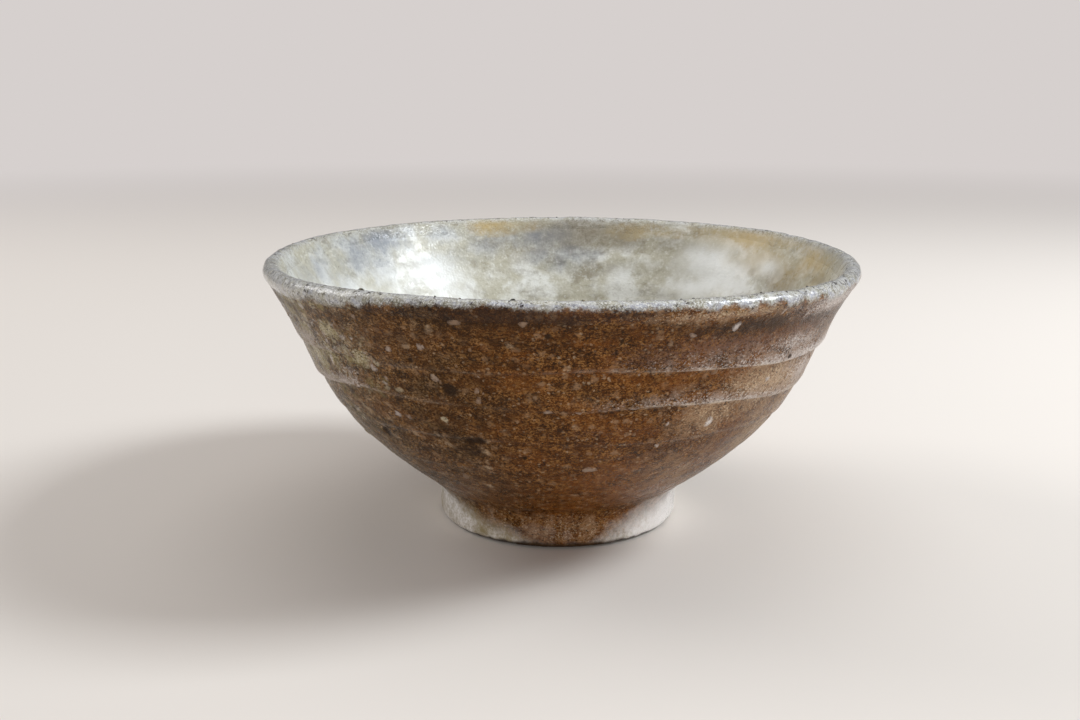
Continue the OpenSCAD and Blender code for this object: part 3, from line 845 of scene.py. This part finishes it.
def lumps(section, shape, turn, run, wide, tall, rise, sink, seed, rings=4, spokes=10):
    """One closed mesh of low domes set square to the surface: a ring's height falls as one less the 2.6th
    power of its share of the radius and ends under the surface, and noise bends its outline."""
    rng = np.random.default_rng(seed)
    count = len(turn)
    step = 0.05 * MM
    near_radius = 60 * MM
    centre = surface(section, shape, turn, run, np.zeros(count))
    along = surface(section, shape, turn, run + step, np.zeros(count)) - centre
    across = surface(section, shape, turn + step / near_radius, run, np.zeros(count)) - centre
    along /= np.linalg.norm(along, axis=1)[:, None]
    across /= np.linalg.norm(across, axis=1)[:, None]
    out = np.cross(across, along)
    out /= np.linalg.norm(out, axis=1)[:, None]
    tilt = rng.uniform(-0.4, 0.4, count)[:, None]
    axis_a = across * np.cos(tilt) + along * np.sin(tilt)
    axis_b = np.cross(out, axis_a)
    spread = np.linspace(0, 1, rings + 1)[1:]
    spoke = np.arange(spokes) / spokes * 2 * math.pi
    outline = 1 + 0.18 * np.sin(2 * spoke + rng.uniform(0, 6, (count, 1))) \
        + 0.15 * np.sin(3 * spoke + rng.uniform(0, 6, (count, 1)))
    reach = spread[None, :, None] * outline[:, None, :]
    level = (1 - spread ** 2.6)[None, :, None] * rise[:, None, None] - (spread ** 5)[None, :, None] * sink
    level = level * (1 + 0.2 * rng.uniform(-1, 1, (count, rings, spokes)))
    offset_a = (reach * np.cos(spoke) * wide[:, None, None] / 2)[..., None] * axis_a[:, None, None, :]
    offset_b = (reach * np.sin(spoke) * tall[:, None, None] / 2)[..., None] * axis_b[:, None, None, :]
    ring_points = centre[:, None, None, :] + offset_a + offset_b + level[..., None] * out[:, None, None, :]
    top = centre + rise[:, None] * out
    bottom = centre - sink * out
    points = np.concatenate([top[:, None, :], ring_points.reshape(count, -1, 3), bottom[:, None, :]], axis=1)
    shares = np.concatenate([[0], np.repeat(spread, spokes), [1]])
    around = np.arange(spokes)
    after = (around + 1) % spokes
    first = 1 + around
    cap = np.stack([np.zeros(spokes, int), first, 1 + after], axis=-1)
    bands = np.concatenate([np.stack([1 + k * spokes + around, 1 + (k + 1) * spokes + around,
                                      1 + (k + 1) * spokes + after, 1 + k * spokes + after], axis=-1)
                            for k in range(rings - 1)])
    last = 1 + (rings - 1) * spokes
    base = np.stack([last + after, last + around, np.full(spokes, 1 + rings * spokes)], axis=-1)
    shift = (np.arange(count) * points.shape[1])[:, None, None]
    faces = [(group[None] + shift).reshape(-1, group.shape[1]) for group in (cap, bands, base)]
    return points.reshape(-1, 3), faces, np.tile(shares, count)


class TEABOWL_OT_stones(PieceOperator, bpy.types.Operator):
    """Feldspar stones melted into the outside: the ones seen in front and a seeded scatter all round"""
    bl_idname = "tea_bowl.stones"
    bl_label = "Feldspar Stones"

    def build(self, section, shape, glaze, clay):
        rng = np.random.default_rng(7)
        seen = np.array(SEEN_STONES)
        count = clay.stones
        small = rng.uniform(0, 1, count) ** 2.5
        turn = np.concatenate([np.radians(seen[:, 0]), rng.uniform(-math.pi, math.pi, count)])
        lowest, climb = 12, 44
        height = np.concatenate([seen[:, 1], lowest + climb * np.sqrt(rng.uniform(0, 1, count))]) * MM
        wide = np.concatenate([seen[:, 2], 0.6 + 1.3 * small]) * MM
        tall = np.concatenate([seen[:, 3], (0.8 + 1.6 * small) * rng.uniform(0.7, 1.4, count)]) * MM
        rise = np.concatenate([seen[:, 4], 0.06 + 0.10 * small]) * MM
        points, faces, share_out = lumps(section, shape, turn, section.run_at(height), wide, tall, rise,
                                         0.25 * MM, 8)
        each = points.shape[0] // len(turn)
        tone = np.concatenate([seen[:, 5], 0.42 * rng.uniform(0, 1, count) ** 2])
        zones = outside_zones(np.repeat(turn, each), np.repeat(height, each))
        zones.update(hem=share_out, tone=np.repeat(tone, each), edge=0 * share_out)
        piece = mesh_object("feldspar_stones", points, faces, zones)
        settle(piece, "feldspar_grains", "feldspar", "Melted feldspar", stone_finish, glaze, clay)


class TEABOWL_OT_grit(PieceOperator, bpy.types.Operator):
    """Dark crumbs that fell on the lip in the kiln"""
    bl_idname = "tea_bowl.grit"
    bl_label = "Kiln Grit"

    def build(self, section, shape, glaze, clay):
        rng = np.random.default_rng(21)
        count = clay.crumbs
        seen = np.array(SEEN_CRUMBS)
        turn = np.concatenate([np.radians(seen[:, 0]), rng.uniform(-math.pi, math.pi, count)])
        run = section.crest + np.concatenate([seen[:, 1] * MM, rng.normal(0.6, 0.7, count) * MM])
        size = np.concatenate([seen[:, 2], rng.uniform(0.22, 0.55, count)]) * MM
        points, faces = lumps(section, shape, turn, run, size * 1.6, size * 0.8, size * 0.3 + 0.10 * MM,
                              0.2 * MM, 22, rings=3, spokes=8)[:2]
        piece = mesh_object("kiln_grit_crumbs", points, faces)
        settle(piece, "kiln_grit", "kiln_grit", "Kiln grit", grit_finish, clay)


# ---------------------------------------------------------------- material tools

class Value:
    """A node's output that can be added, taken away, multiplied and divided like a number."""

    def __init__(self, nodes, socket):
        self.nodes, self.socket = nodes, socket

    def __add__(self, other):
        return self.nodes.maths("ADD", self, other)

    def __sub__(self, other):
        return self.nodes.maths("SUBTRACT", self, other)

    def __rsub__(self, other):
        return self.nodes.maths("SUBTRACT", other, self)

    def __mul__(self, other):
        return self.nodes.maths("MULTIPLY", self, other)

    def __rtruediv__(self, other):
        return self.nodes.maths("DIVIDE", other, self)


class Nodes:
    """A node tree being filled, with one method for each kind of step."""

    def __init__(self, tree):
        self.tree = tree

    def put(self, socket, value):
        """Fills one input with a number, a colour or another node's output."""
        if isinstance(value, Value):
            self.tree.links.new(value.socket, socket)
        elif socket.type == "RGBA" and len(value) == 3:
            socket.default_value = (*value, 1)
        else:
            socket.default_value = value

    def add(self, kind, inputs=(), **settings):
        """Adds a shader node, with its settings, and fills its inputs."""
        made = self.tree.nodes.new("ShaderNode" + kind)
        for key, value in settings.items():
            setattr(made, key, value)
        for key, value in dict(inputs).items():
            self.put(made.inputs[key], value)
        return made

    def get(self, kind, output, inputs=(), **settings):
        """Adds a shader node and returns one of its outputs."""
        return Value(self, self.add(kind, inputs, **settings).outputs[output])

    def outputs(self, made):
        """All outputs of a node by name."""
        return {socket.name: Value(self, socket) for socket in made.outputs}

    def maths(self, operation, first, second):
        """One step of arithmetic."""
        return self.get("Math", 0, {0: first, 1: second}, operation=operation)

    def over(self, below, above, amount):
        """One colour laid over another by an amount."""
        return self.get("Mix", 2, {0: amount, 6: below, 7: above}, data_type="RGBA")

    def spread(self, value, low, high, to_low=0.0, to_high=1.0, way="SMOOTHSTEP"):
        """Eases a value from one range to another."""
        return self.get("MapRange", "Result", {"Value": value, "From Min": low, "From Max": high,
                                               "To Min": to_low, "To Max": to_high}, interpolation_type=way)

    def line(self, value, low, high, to_low, to_high):
        """Carries a value from one range to another in a straight line."""
        return self.spread(value, low, high, to_low, to_high, "LINEAR")

    def washes(self, below, rows):
        """Colours laid over each other, each by as much as a value eases from low to high, times its most."""
        for tint, value, low, high, most in rows:
            below = self.over(below, tint, self.spread(value, low, high, 0, most))
        return below

    def place(self, squeeze=None):
        """Object coordinates, squeezed in height where a pattern lies along the turning lines."""
        made = self.tree.nodes.get("Texture Coordinate") or self.add("TexCoord")
        place = Value(self, made.outputs["Object"])
        if squeeze is None:
            return place
        return self.get("Mapping", "Vector", {"Vector": place, "Scale": (1, 1, squeeze)})

    def noise(self, size, detail=2.0, roughness=0.5, squeeze=None):
        """Noise whose blotches are about this size in metres."""
        return self.get("TexNoise", "Fac", {"Vector": self.place(squeeze), "Scale": 1 / size,
                                            "Detail": detail, "Roughness": roughness})

    def zone(self, name):
        """A zone that the mesh carries as a vertex attribute."""
        return self.get("Attribute", "Fac", attribute_name=name)

    def bump(self, height, distance, strength):
        """Normal that a height bends, with its reach in millimetres."""
        return self.get("Bump", "Normal", {"Height": height, "Distance": distance * MM, "Strength": strength})

    def use(self, made_group, values):
        """Places a node group, fills its inputs in order and returns its outputs by name."""
        placed = self.add("Group", node_tree=made_group)
        for socket, value in zip(placed.inputs, values):
            self.put(socket, value)
        return self.outputs(placed)


def group(name, colours, numbers, fill):
    """Node group that takes these colours and numbers, made once; fill returns its outputs by name."""
    if name in bpy.data.node_groups:
        return bpy.data.node_groups[name]
    tree = bpy.data.node_groups.new(name, "ShaderNodeTree")

    def socket(label, way, is_colour):
        kind = "NodeSocketColor" if is_colour else "NodeSocketFloat"
        tree.interface.new_socket(name=label, in_out=way, socket_type=kind)

    for label in colours + numbers:
        socket(label, "INPUT", label in colours)
    nodes = Nodes(tree)
    given = nodes.outputs(tree.nodes.new("NodeGroupInput"))
    made = fill(nodes, given)
    for label in made:
        socket(label, "OUTPUT", label == "Color")
    sink = tree.nodes.new("NodeGroupOutput")
    for label, value in made.items():
        nodes.put(sink.inputs[label], value)
    return tree


def fired_speckle(nodes, *values):
    """Fine fired grain: dark and light specks over a body colour, drawn out a little along the turning."""
    def fill(nodes, given):
        place = nodes.place(1.5)

        def grain(divide, detail, roughness):
            return nodes.get("TexNoise", "Fac", {"Vector": place, "Scale": divide / given["Size"],
                                                 "Detail": detail, "Roughness": roughness})

        specks, fine, clumps = grain(1.0, 2.0, 0.65), grain(2.2, 2.0, 0.6), grain(0.2, 3.0, 0.6)
        shifted = specks * 0.6 + fine * 0.4 + (clumps - 0.5) * 0.35
        dark = nodes.spread(shifted, 0.50, 0.40) * given["Contrast"]
        light = nodes.spread(shifted, 0.51, 0.61) * given["Contrast"]
        darkened = nodes.over(given["Body"], given["Dark"], dark)
        return {"Color": nodes.over(darkened, given["Light"], light), "Height": shifted}
    return nodes.use(group("Fired speckle", ("Body", "Dark", "Light"), ("Size", "Contrast"), fill), values)


def veil(nodes, *values):
    """A second colour that settled in grains: it covers as much of the surface as the amount says, and the
    softness blurs the border of its grains."""
    def fill(nodes, given):
        level = 0.72 - given["Amount"] * 0.44
        mask = nodes.spread(given["Grain"], level - given["Softness"], level + given["Softness"])
        mask = mask * nodes.spread(given["Amount"], 0.02, 0.14)
        return {"Color": nodes.over(given["Color"], given["Veil"], mask), "Mask": mask}
    return nodes.use(group("Ash veil", ("Color", "Veil"), ("Amount", "Grain", "Softness"), fill), values)


def flecks(nodes, *values):
    """Scattered small melted grains with uneven borders: the cores of some cells, picked by their random
    colour, which also says how strong each one is."""
    def fill(nodes, given):
        place, size = nodes.place(1.2), given["Size"]
        cells = nodes.add("TexVoronoi", {"Vector": place, "Scale": 1.0 / size, "Randomness": 1.0})
        cells = nodes.outputs(cells)
        rough = nodes.get("TexNoise", "Fac", {"Vector": place, "Scale": 2.2 / size, "Detail": 2.0})
        core = nodes.spread(cells["Distance"] + (rough - 0.5) * 0.9, 0.50, 0.14)
        picks = nodes.outputs(nodes.add("SeparateColor", {"Color": cells["Color"]}))
        chosen = nodes.maths("LESS_THAN", picks["Red"], given["Share"])
        depth = nodes.line(picks["Green"], 0, 1, 0.2, 0.95)
        mask = (core * chosen) * (depth * given["Strength"])
        return {"Color": nodes.over(given["Color"], given["Fleck"], mask)}
    made = group("Melted flecks", ("Color", "Fleck"), ("Size", "Share", "Strength"), fill)
    return nodes.use(made, values)["Color"]


def grains(nodes, size=0.44 * MM):
    """Fine and coarse grain that decide where a veil settles."""
    fine = nodes.noise(size, 2, 0.6) * 0.6 + nodes.noise(size / 2.4, 1, 0.5) * 0.4
    return fine, nodes.noise(size * 7, 3, 0.6) * 0.7 + fine * 0.3


def fresh(made):
    """The empty node tree of a new material or world."""
    made.use_nodes = True
    made.node_tree.nodes.clear()
    return Nodes(made.node_tree)


def finish_material(name, build, *palettes):
    """Material with one Principled shader whose inputs the build function returns."""
    if name in bpy.data.materials:
        return bpy.data.materials[name]
    made = bpy.data.materials.new(name)
    nodes = fresh(made)
    nodes.add("OutputMaterial", {"Surface": nodes.get("BsdfPrincipled", "BSDF", build(nodes, *palettes))})
    return made


# ---------------------------------------------------------------- materials

def brown_layers(nodes, glaze):
    """Colour, height and roughness of the brown glaze with all that the fire laid on it, and the painted
    sheen, shade, light and highlight that its zones carry.
    """
    fine, coarse = grains(nodes)
    salt = nodes.noise(0.5 * MM, 3, 0.75, 1.3)
    # The ash zone is real ash and, on the left flank, painted sheen as well.
    olive, ash = nodes.zone("olive"), nodes.zone("ash")
    body = nodes.over(glaze.brown, glaze.brown_olive, olive)
    light = nodes.over(glaze.brown_light, glaze.ash_grain, olive * 0.35)
    speckle = fired_speckle(nodes, body, glaze.brown_dark, light, 0.50 * MM, 1.0)
    drift = nodes.noise(14 * MM, 3, 0.6, 2.0)
    blush = nodes.spread(drift, 0.45, 0.62, 0, 0.3) * nodes.line(olive, 0, 1, 1, 0.15)
    now = nodes.over(speckle["Color"], glaze.ember_and_painted_light, blush)
    now = nodes.washes(now, ((glaze.brown_dark, drift, 0.47, 0.34, 0.26),))
    # Orange-brown blush by zone, partly painted shade under the ledges and painted light on the hip and foot.
    now = nodes.over(now, glaze.ember_and_painted_light, nodes.zone("ember_and_painted_light") * nodes.spread(coarse, 0.38, 0.60, 0.2, 0.75))

    def lay(below, tint, name, grain, softness, share=1.0):
        """A veil that settled by this grain in a zone."""
        return veil(nodes, below, tint, nodes.zone(name) * share, grain, softness)

    def dust(below, film, pale, name, share, softness=0.18, cover=1.0):
        """A thin film with paler grains standing in it."""
        return lay(lay(below, film, name, coarse, softness, cover)["Color"], pale, name, salt, 0.12, share)

    def dots(below, rows):
        """Layers of flecks, each (tint, size in millimetres, share of the cells, strength)."""
        for tint, size, part, strength in rows:
            below = flecks(nodes, below, tint, size * MM, part, strength)
        return below

    now = dots(now, ((glaze.beige, 2.3, nodes.line(olive, 0, 1, 0.38, 0.62), 0.65),
                     (glaze.beige_grain, 0.9, 0.22, 0.5), (glaze.brown_light, 1.2, 0.5, 0.8)))
    # Mauve film by zone, partly painted sheen on the right flank.
    now = lay(now, glaze.mauve, "mauve", fine, 0.18, 0.9)["Color"]
    # Dark band by zone, partly painted shade under the lip.
    now = nodes.over(now, lay(now, glaze.soot_and_shade, "soot_and_shade", coarse, 0.26)["Color"], 0.78)
    # Olive ash film with pale grains, partly painted sheen on the left flank.
    clumped = nodes.spread(nodes.noise(3.6 * MM, 2, 0.6, 0.7), 0.40, 0.60, 0.45, 1.15)
    now = dust(now, glaze.olive_ash, glaze.ash_grain, "ash", clumped * 0.72, 0.12, clumped)["Color"]
    now = dots(now, ((glaze.brown_dark, 2.6, ash * 0.75 + olive * 0.35, 0.85),
                     (glaze.ash_grain, 2.2, ash * 0.7, 0.7), (glaze.olive_ash, 3.4, ash * 0.8, 0.7),
                     (glaze.beige_grain, 2.4, olive * 0.34, 0.55), (glaze.bloom_grain, 2.1, ash * 0.6, 0.85)))
    # Beige film with pale grains, partly painted sheen on the right flank and painted light on the foot.
    now = dust(now, glaze.beige, glaze.beige_grain, "beige", 0.6)["Color"]
    bloom = dust(now, glaze.bloom, glaze.bloom_grain, "bloom", 0.85)
    # Pale line along the ledges: partly thin glaze, partly painted highlight.
    pale_line_and_highlight = nodes.zone("edge") * nodes.spread(fine, 0.36, 0.6, 0.4, 0.8)
    now = nodes.over(bloom["Color"], glaze.thin_edge_and_highlight, pale_line_and_highlight)
    now = veil(nodes, now, glaze.soot_and_shade, 0.26, nodes.noise(0.62 * MM, 3, 0.75, 1.4), 0.04)["Color"]
    # Darker in the pits.
    now = nodes.washes(now, ((glaze.soot_and_shade, nodes.zone("pit"), 0.15, 0.55, 0.92),))
    height = speckle["Height"] + salt * 0.6 + nodes.noise(2.6 * MM, 1, 0.5) * 1.6
    rough = nodes.spread(coarse, 0.35, 0.65, 0.20, 0.36) + bloom["Mask"] * 0.10
    return now, height, rough


def lip_layers(nodes, glaze):
    """Colour of the lip glaze: lilac-grey and cream clouds, grey-green where thin, white and dark grains."""
    fine, coarse = grains(nodes, 0.42 * MM)
    pale = nodes.zone("pale")
    now = nodes.washes(glaze.lip_lilac, (
        (glaze.lip_cream, nodes.noise(5 * MM, 2, 0.6), 0.50, 0.66, 0.6),
        (glaze.lip_grey, nodes.noise(2.6 * MM, 3, 0.65, 0.8), 0.48, 0.62, 0.85),
        (glaze.lip_cream, pale, 0.86, 1.0, 0.4),
        (glaze.lip_grey, coarse + nodes.zone("ash") * -0.18, 0.53, 0.36, 0.85),
        (glaze.lip_grey, pale, 0.75, 0.25, 0.6)))
    now = veil(nodes, now, glaze.lip_white, 0.36, fine, 0.14)["Color"]
    sooty = nodes.spread(nodes.noise(6 * MM, 2, 0.6), 0.42, 0.62, 0.16, 0.31)
    return veil(nodes, now, glaze.soot_and_shade, sooty, nodes.noise(0.9 * MM, 3, 0.7), 0.08)["Color"]


def lip_over(nodes, glaze, brown_now):
    """The lip glaze laid over the brown one as far as its cover says, thinning out in grains."""
    fine, coarse = grains(nodes, 0.6 * MM)
    cover = nodes.line(nodes.zone("pale"), 0, 1, 0, 1.3)
    return veil(nodes, brown_now, lip_layers(nodes, glaze), cover, fine * 0.5 + coarse * 0.5, 0.15)["Color"]


def foot_layers(nodes, clay):
    """Colour of the foot's coat: milky white at the right, its white partly painted highlight, olive and
    white mottling at the left, and a dark line at the base that is partly wear and partly painted contact
    shadow."""
    fine, coarse = grains(nodes, 0.85 * MM)
    milk = nodes.zone("milk")
    grey = nodes.spread(fine, 0.42, 0.62) * nodes.line(milk, 0.3, 1.0, 0.7, 0.1)
    now = nodes.over(clay.foot_white, clay.foot_grey, grey)
    now = veil(nodes, now, clay.foot_olive, nodes.line(milk, 0.3, 1.0, 0.6, 0.02), coarse, 0.2)["Color"]
    # Dark line along the base, partly painted contact shadow.
    return nodes.over(now, clay.scorch_and_contact_shade, nodes.zone("scorch_and_contact_shade") * 0.9)


def skirt_over(nodes, glaze, clay):
    """Colour and height where the brown skirt lies over the foot's coat as far as its cover says, and the
    roughness of the skirt."""
    brown_now, height, rough = brown_layers(nodes, glaze)
    cover = nodes.zone("skirt") + (grains(nodes, 0.7 * MM)[1] - 0.5) * 0.8
    now = nodes.over(foot_layers(nodes, clay), brown_now, nodes.line(cover, 0.12, 0.94, 0, 1))
    # Dark line along the base, partly painted contact shadow.
    return nodes.over(now, clay.scorch_and_contact_shade, nodes.zone("scorch_and_contact_shade") * 0.9), height, rough


def inner_layers(nodes, glaze):
    """Colour and height of the pale lining: cream with clouds of white, partly painted highlight, blue-grey,
    ochre and umber.
    """
    fine, coarse = grains(nodes, 1.3 * MM)
    now = nodes.washes(glaze.cream, (
        (glaze.cloud_and_highlight, nodes.noise(9 * MM, 4, 0.6), 0.42, 0.62, 0.72),
        (glaze.umber, nodes.noise(7 * MM, 4, 0.6, 1.6), 0.50, 0.70, 0.6),
        (glaze.umber, fine, 0.52, 0.68, 0.30), (glaze.cloud_and_highlight, fine, 0.48, 0.34, 0.35)))
    tints = {"umber": glaze.umber, "blue": glaze.blue_grey, "ochre": glaze.ochre, "cloud_and_highlight": glaze.cloud_and_highlight}
    for name, tint in tints.items():
        now = veil(nodes, now, tint, nodes.zone(name), coarse, 0.34)["Color"]
    return now, fine + coarse


def bare_layers(nodes, clay):
    """Colour and height of bare buff clay: gritty, with orange flashing and dark crumbs."""
    speckle = fired_speckle(nodes, clay.buff, clay.flash, clay.stone_white, 0.9 * MM, 0.6)
    now = nodes.washes(speckle["Color"], ((clay.flash, nodes.noise(12 * MM, 3), 0.42, 0.62, 0.7),))
    return flecks(nodes, now, clay.grit, 1.6 * MM, 0.08, 1.0), speckle["Height"]


def brown_finish(nodes, glaze):
    """Semi-gloss brown ash glaze, speckled, with ash, bloom, soot and pale ledge edges, and the painted
    sheen, shade, light and highlight among them.
    """
    now, height, rough = brown_layers(nodes, glaze)
    return {"Base Color": lip_over(nodes, glaze, now), "Roughness": rough,
            "Normal": nodes.bump(height, 0.22, 0.9), "IOR": BROWN_IOR, "Specular Tint": WARM}


def skirt_finish(nodes, glaze, clay):
    """The brown glaze where it ran thin over the foot's coat."""
    now, height, rough = skirt_over(nodes, glaze, clay)
    return {"Base Color": now, "Roughness": rough, "Normal": nodes.bump(height, 0.25, 0.9),
            "IOR": BROWN_IOR, "Specular Tint": WARM}


def lip_finish(nodes, glaze):
    """Glossy grey-white glaze that breaks to brown at its lower edge and to the lining's cream inside."""
    brown_now, height, rough = brown_layers(nodes, glaze)
    pale, inward = nodes.zone("pale"), nodes.zone("inward")
    now = nodes.over(lip_over(nodes, glaze, brown_now), inner_layers(nodes, glaze)[0], inward)
    return {"Base Color": now, "Roughness": rough * nodes.spread(pale, 0.1, 0.9, 1.0, 0.7),
            "Normal": nodes.bump(height, 0.24, 1.0), "IOR": BROWN_IOR,
            "Coat Weight": pale * nodes.line(inward, 0, 1, 0.9, 0.3), "Coat Roughness": 0.09,
            "Coat Normal": nodes.bump(height, 0.075, 0.8)}


def inner_finish(nodes, glaze):
    """Glossy pale lining, with olive ash where it pooled in the well."""
    now, height = inner_layers(nodes, glaze)
    pooled = nodes.zone("pool") * nodes.spread(nodes.noise(8 * MM, 3), 0.35, 0.6, 0.3, 0.8)
    return {"Base Color": nodes.over(now, glaze.olive_ash, pooled),
            "Roughness": nodes.spread(nodes.noise(2.5 * MM, 3), 0.35, 0.65, 0.27, 0.42),
            "Normal": nodes.bump(height, 0.19, 0.6), "IOR": 1.42}


def clay_finish(nodes, clay):
    """Bare clay of the recess."""
    now, height = bare_layers(nodes, clay)
    return {"Base Color": now, "Roughness": 0.85, "Normal": nodes.bump(height, 0.35, 0.9)}


def foot_finish(nodes, glaze, clay):
    """Foot ring: the milky and mottled coat with the thin end of the brown skirt over it, and bare clay where
    the ring stands and inside it."""
    now, height = skirt_over(nodes, glaze, clay)[:2]
    bare = nodes.zone("bare")
    rough = nodes.spread(nodes.zone("milk"), 0.3, 0.9, 0.45, 0.16)
    return {"Base Color": nodes.over(now, bare_layers(nodes, clay)[0], bare),
            "Roughness": nodes.maths("MAXIMUM", rough, bare * 0.8), "Normal": nodes.bump(height, 0.28, 0.8)}


def stone_finish(nodes, glaze, clay):
    """Feldspar: milky white to stained, and it melts into the brown glaze at its hem."""
    brown_now = brown_layers(nodes, glaze)[0]
    fine = grains(nodes, 0.4 * MM)[0]
    body = nodes.over(clay.stone_cream, clay.stone_white, nodes.maths("POWER", nodes.zone("tone"), 2.2))
    body = nodes.washes(body, ((clay.stone_cream, fine, 0.48, 0.62, 0.5),))
    hem = nodes.zone("hem") + (fine - 0.5) * 1.6
    return {"Base Color": nodes.over(body, brown_now, nodes.spread(hem, 0.15, 1.0, 0.08, 1)),
            "Roughness": 0.34, "Normal": nodes.bump(fine, 0.12, 0.6), "IOR": 1.45}


def grit_finish(nodes, clay):
    """Dark half-melted crumbs."""
    speckle = fired_speckle(nodes, clay.grit, GRIT_BLACK, clay.foot_olive, 0.4 * MM, 0.7)
    return {"Base Color": speckle["Color"], "Roughness": 0.5,
            "Normal": nodes.bump(speckle["Height"], 0.1, 0.8)}


# ---------------------------------------------------------------- stage

CAMERA_PLACE = (-0.00416, -0.26564, 0.09799)
CAMERA_TILT = 13.35     # degrees below level
CAMERA_LENS = 39.99
SENSOR_WIDTH = 36
FLOOR_RADIUS = 6.0
FLOOR_STEPS = 96
BACKDROP = srgb(214, 208, 206)

# Soft lights: name, direction from the bowl, distance, size, power and colour.
LIGHTS = (
    ("window", (0.75, 0.01, 0.65), 0.9, 0.26, 7.4, (0.88, 0.945, 1.0)),
    ("left_window", (-0.76, 0.32, 0.56), 1.1, 0.5, 3.8, (1.0, 1.0, 1.0)),
    ("overhead", (0.0, 0.25, 1.0), 1.2, 1.0, 3.8, (1.0, 1.0, 1.0)),
    ("low_front", (0.12, -1.0, 0.14), 1.3, 0.8, 6.8, (1.0, 0.99, 0.97)),
)


class TEABOWL_OT_stage(bpy.types.Operator):
    """Plain pale floor, soft studio light and the camera"""
    bl_idname = "tea_bowl.stage"
    bl_label = "Stage"
    bl_options = {"REGISTER", "UNDO"}

    def execute(self, context):
        scene = context.scene
        make_floor()
        make_world(scene)
        for row in LIGHTS:
            area_light(*row)
        data = bpy.data.cameras.new("camera")
        data.lens, data.sensor_width = CAMERA_LENS, SENSOR_WIDTH
        data.clip_start, data.clip_end = 0.01, 50
        camera = bpy.data.objects.new("camera", data)
        camera.location = CAMERA_PLACE
        camera.rotation_euler = (math.radians(90 - CAMERA_TILT), 0, 0)
        scene.collection.objects.link(camera)
        scene.camera = camera
        scene.view_settings.view_transform = "Standard"
        return {"FINISHED"}


def make_floor():
    """Wide disc: a fan of points on a circle round its centre."""
    turn = np.linspace(0, 2 * math.pi, FLOOR_STEPS, endpoint=False)
    rim = np.stack([FLOOR_RADIUS * np.cos(turn), FLOOR_RADIUS * np.sin(turn), 0 * turn], axis=-1)
    points = np.concatenate([[[0, 0, 0]], rim])
    step = np.arange(FLOOR_STEPS)
    fan = np.stack([0 * step, 1 + step, 1 + (step + 1) % FLOOR_STEPS], axis=-1)
    floor = mesh_object("floor", points, [fan])
    floor.data.materials.append(floor_material())


def floor_material():
    """Matt pale floor that fades to the backdrop's colour far from the bowl."""
    made = bpy.data.materials.new("Pale floor")
    nodes = fresh(made)
    away = nodes.get("VectorMath", "Value", {0: nodes.place()}, operation="LENGTH")
    matt = nodes.get("BsdfDiffuse", 0, {"Color": srgb(220, 212, 204)})
    glow = nodes.get("Emission", 0, {"Color": BACKDROP, "Strength": 1.0})
    seen = nodes.spread(away, 0.35, 1.2) * nodes.get("LightPath", "Is Camera Ray")
    nodes.add("OutputMaterial", {"Surface": nodes.get("MixShader", 0, {0: seen, 1: matt, 2: glow})})
    return made


def make_world(scene):
    """Even pale surroundings: the backdrop's colour to the camera, a level glow to everything else."""
    world = bpy.data.worlds.new("surroundings")
    nodes = fresh(world)
    seen = nodes.get("LightPath", "Is Camera Ray")
    around = nodes.get("Background", 0, {"Color": srgb(226, 226, 230), "Strength": 0.32})
    backdrop = nodes.get("Background", 0, {"Color": BACKDROP, "Strength": 1.0})
    nodes.add("OutputWorld", {"Surface": nodes.get("MixShader", 0, {0: seen, 1: around, 2: backdrop})})
    scene.world = world


def area_light(name, direction, distance, size, power, tint):
    """Square soft light that looks at the bowl from a direction."""
    data = bpy.data.lights.new(name, "AREA")
    data.shape, data.size, data.energy, data.color = "SQUARE", size, power, tint
    light = bpy.data.objects.new(name, data)
    target = np.array([0, 0, LIP_HIGH.z * 0.6])
    toward = np.array(direction) / np.linalg.norm(direction)
    light.location = target + toward * distance
    yaw, level = math.atan2(toward[1], toward[0]), math.asin(toward[2])
    light.rotation_euler = (0, math.pi / 2 - level, yaw)
    bpy.context.scene.collection.objects.link(light)


# ---------------------------------------------------------------- add-on

PIECES = (TEABOWL_OT_clay_wall, TEABOWL_OT_foot_ring, TEABOWL_OT_brown_glaze, TEABOWL_OT_foot_run,
          TEABOWL_OT_lip_glaze, TEABOWL_OT_inner_glaze, TEABOWL_OT_stones, TEABOWL_OT_grit, TEABOWL_OT_stage)


class TEABOWL_PT_panel(bpy.types.Panel):
    """Pieces of the bowl and their settings"""
    bl_idname = "TEABOWL_PT_panel"
    bl_label = "Tea Bowl"
    bl_space_type = "VIEW_3D"
    bl_region_type = "UI"
    bl_category = "Tea Bowl"

    def draw(self, context):
        for piece in PIECES:
            self.layout.operator(piece.bl_idname)
        for name in SETTINGS:
            settings, box = getattr(context.scene, name), self.layout.box()
            for key in settings.__annotations__:
                box.prop(settings, key)


SETTINGS = {"tea_bowl_shape": TeaBowlShape, "tea_bowl_glaze": TeaBowlGlaze, "tea_bowl_clay": TeaBowlClay}
CLASSES = (*SETTINGS.values(), *PIECES, TEABOWL_PT_panel)


def register():
    """Adds the settings, the operators and the panel to Blender."""
    for made in CLASSES:
        bpy.utils.register_class(made)
    for name, made in SETTINGS.items():
        setattr(bpy.types.Scene, name, bpy.props.PointerProperty(type=made))


def unregister():
    """Takes them away again."""
    for name in SETTINGS:
        delattr(bpy.types.Scene, name)
    for made in reversed(CLASSES):
        bpy.utils.unregister_class(made)


def main():
    """Builds every piece in order."""
    register()
    for piece in PIECES:
        area, name = piece.bl_idname.split(".")
        getattr(getattr(bpy.ops, area), name)()


if __name__ == "__main__":
    main()
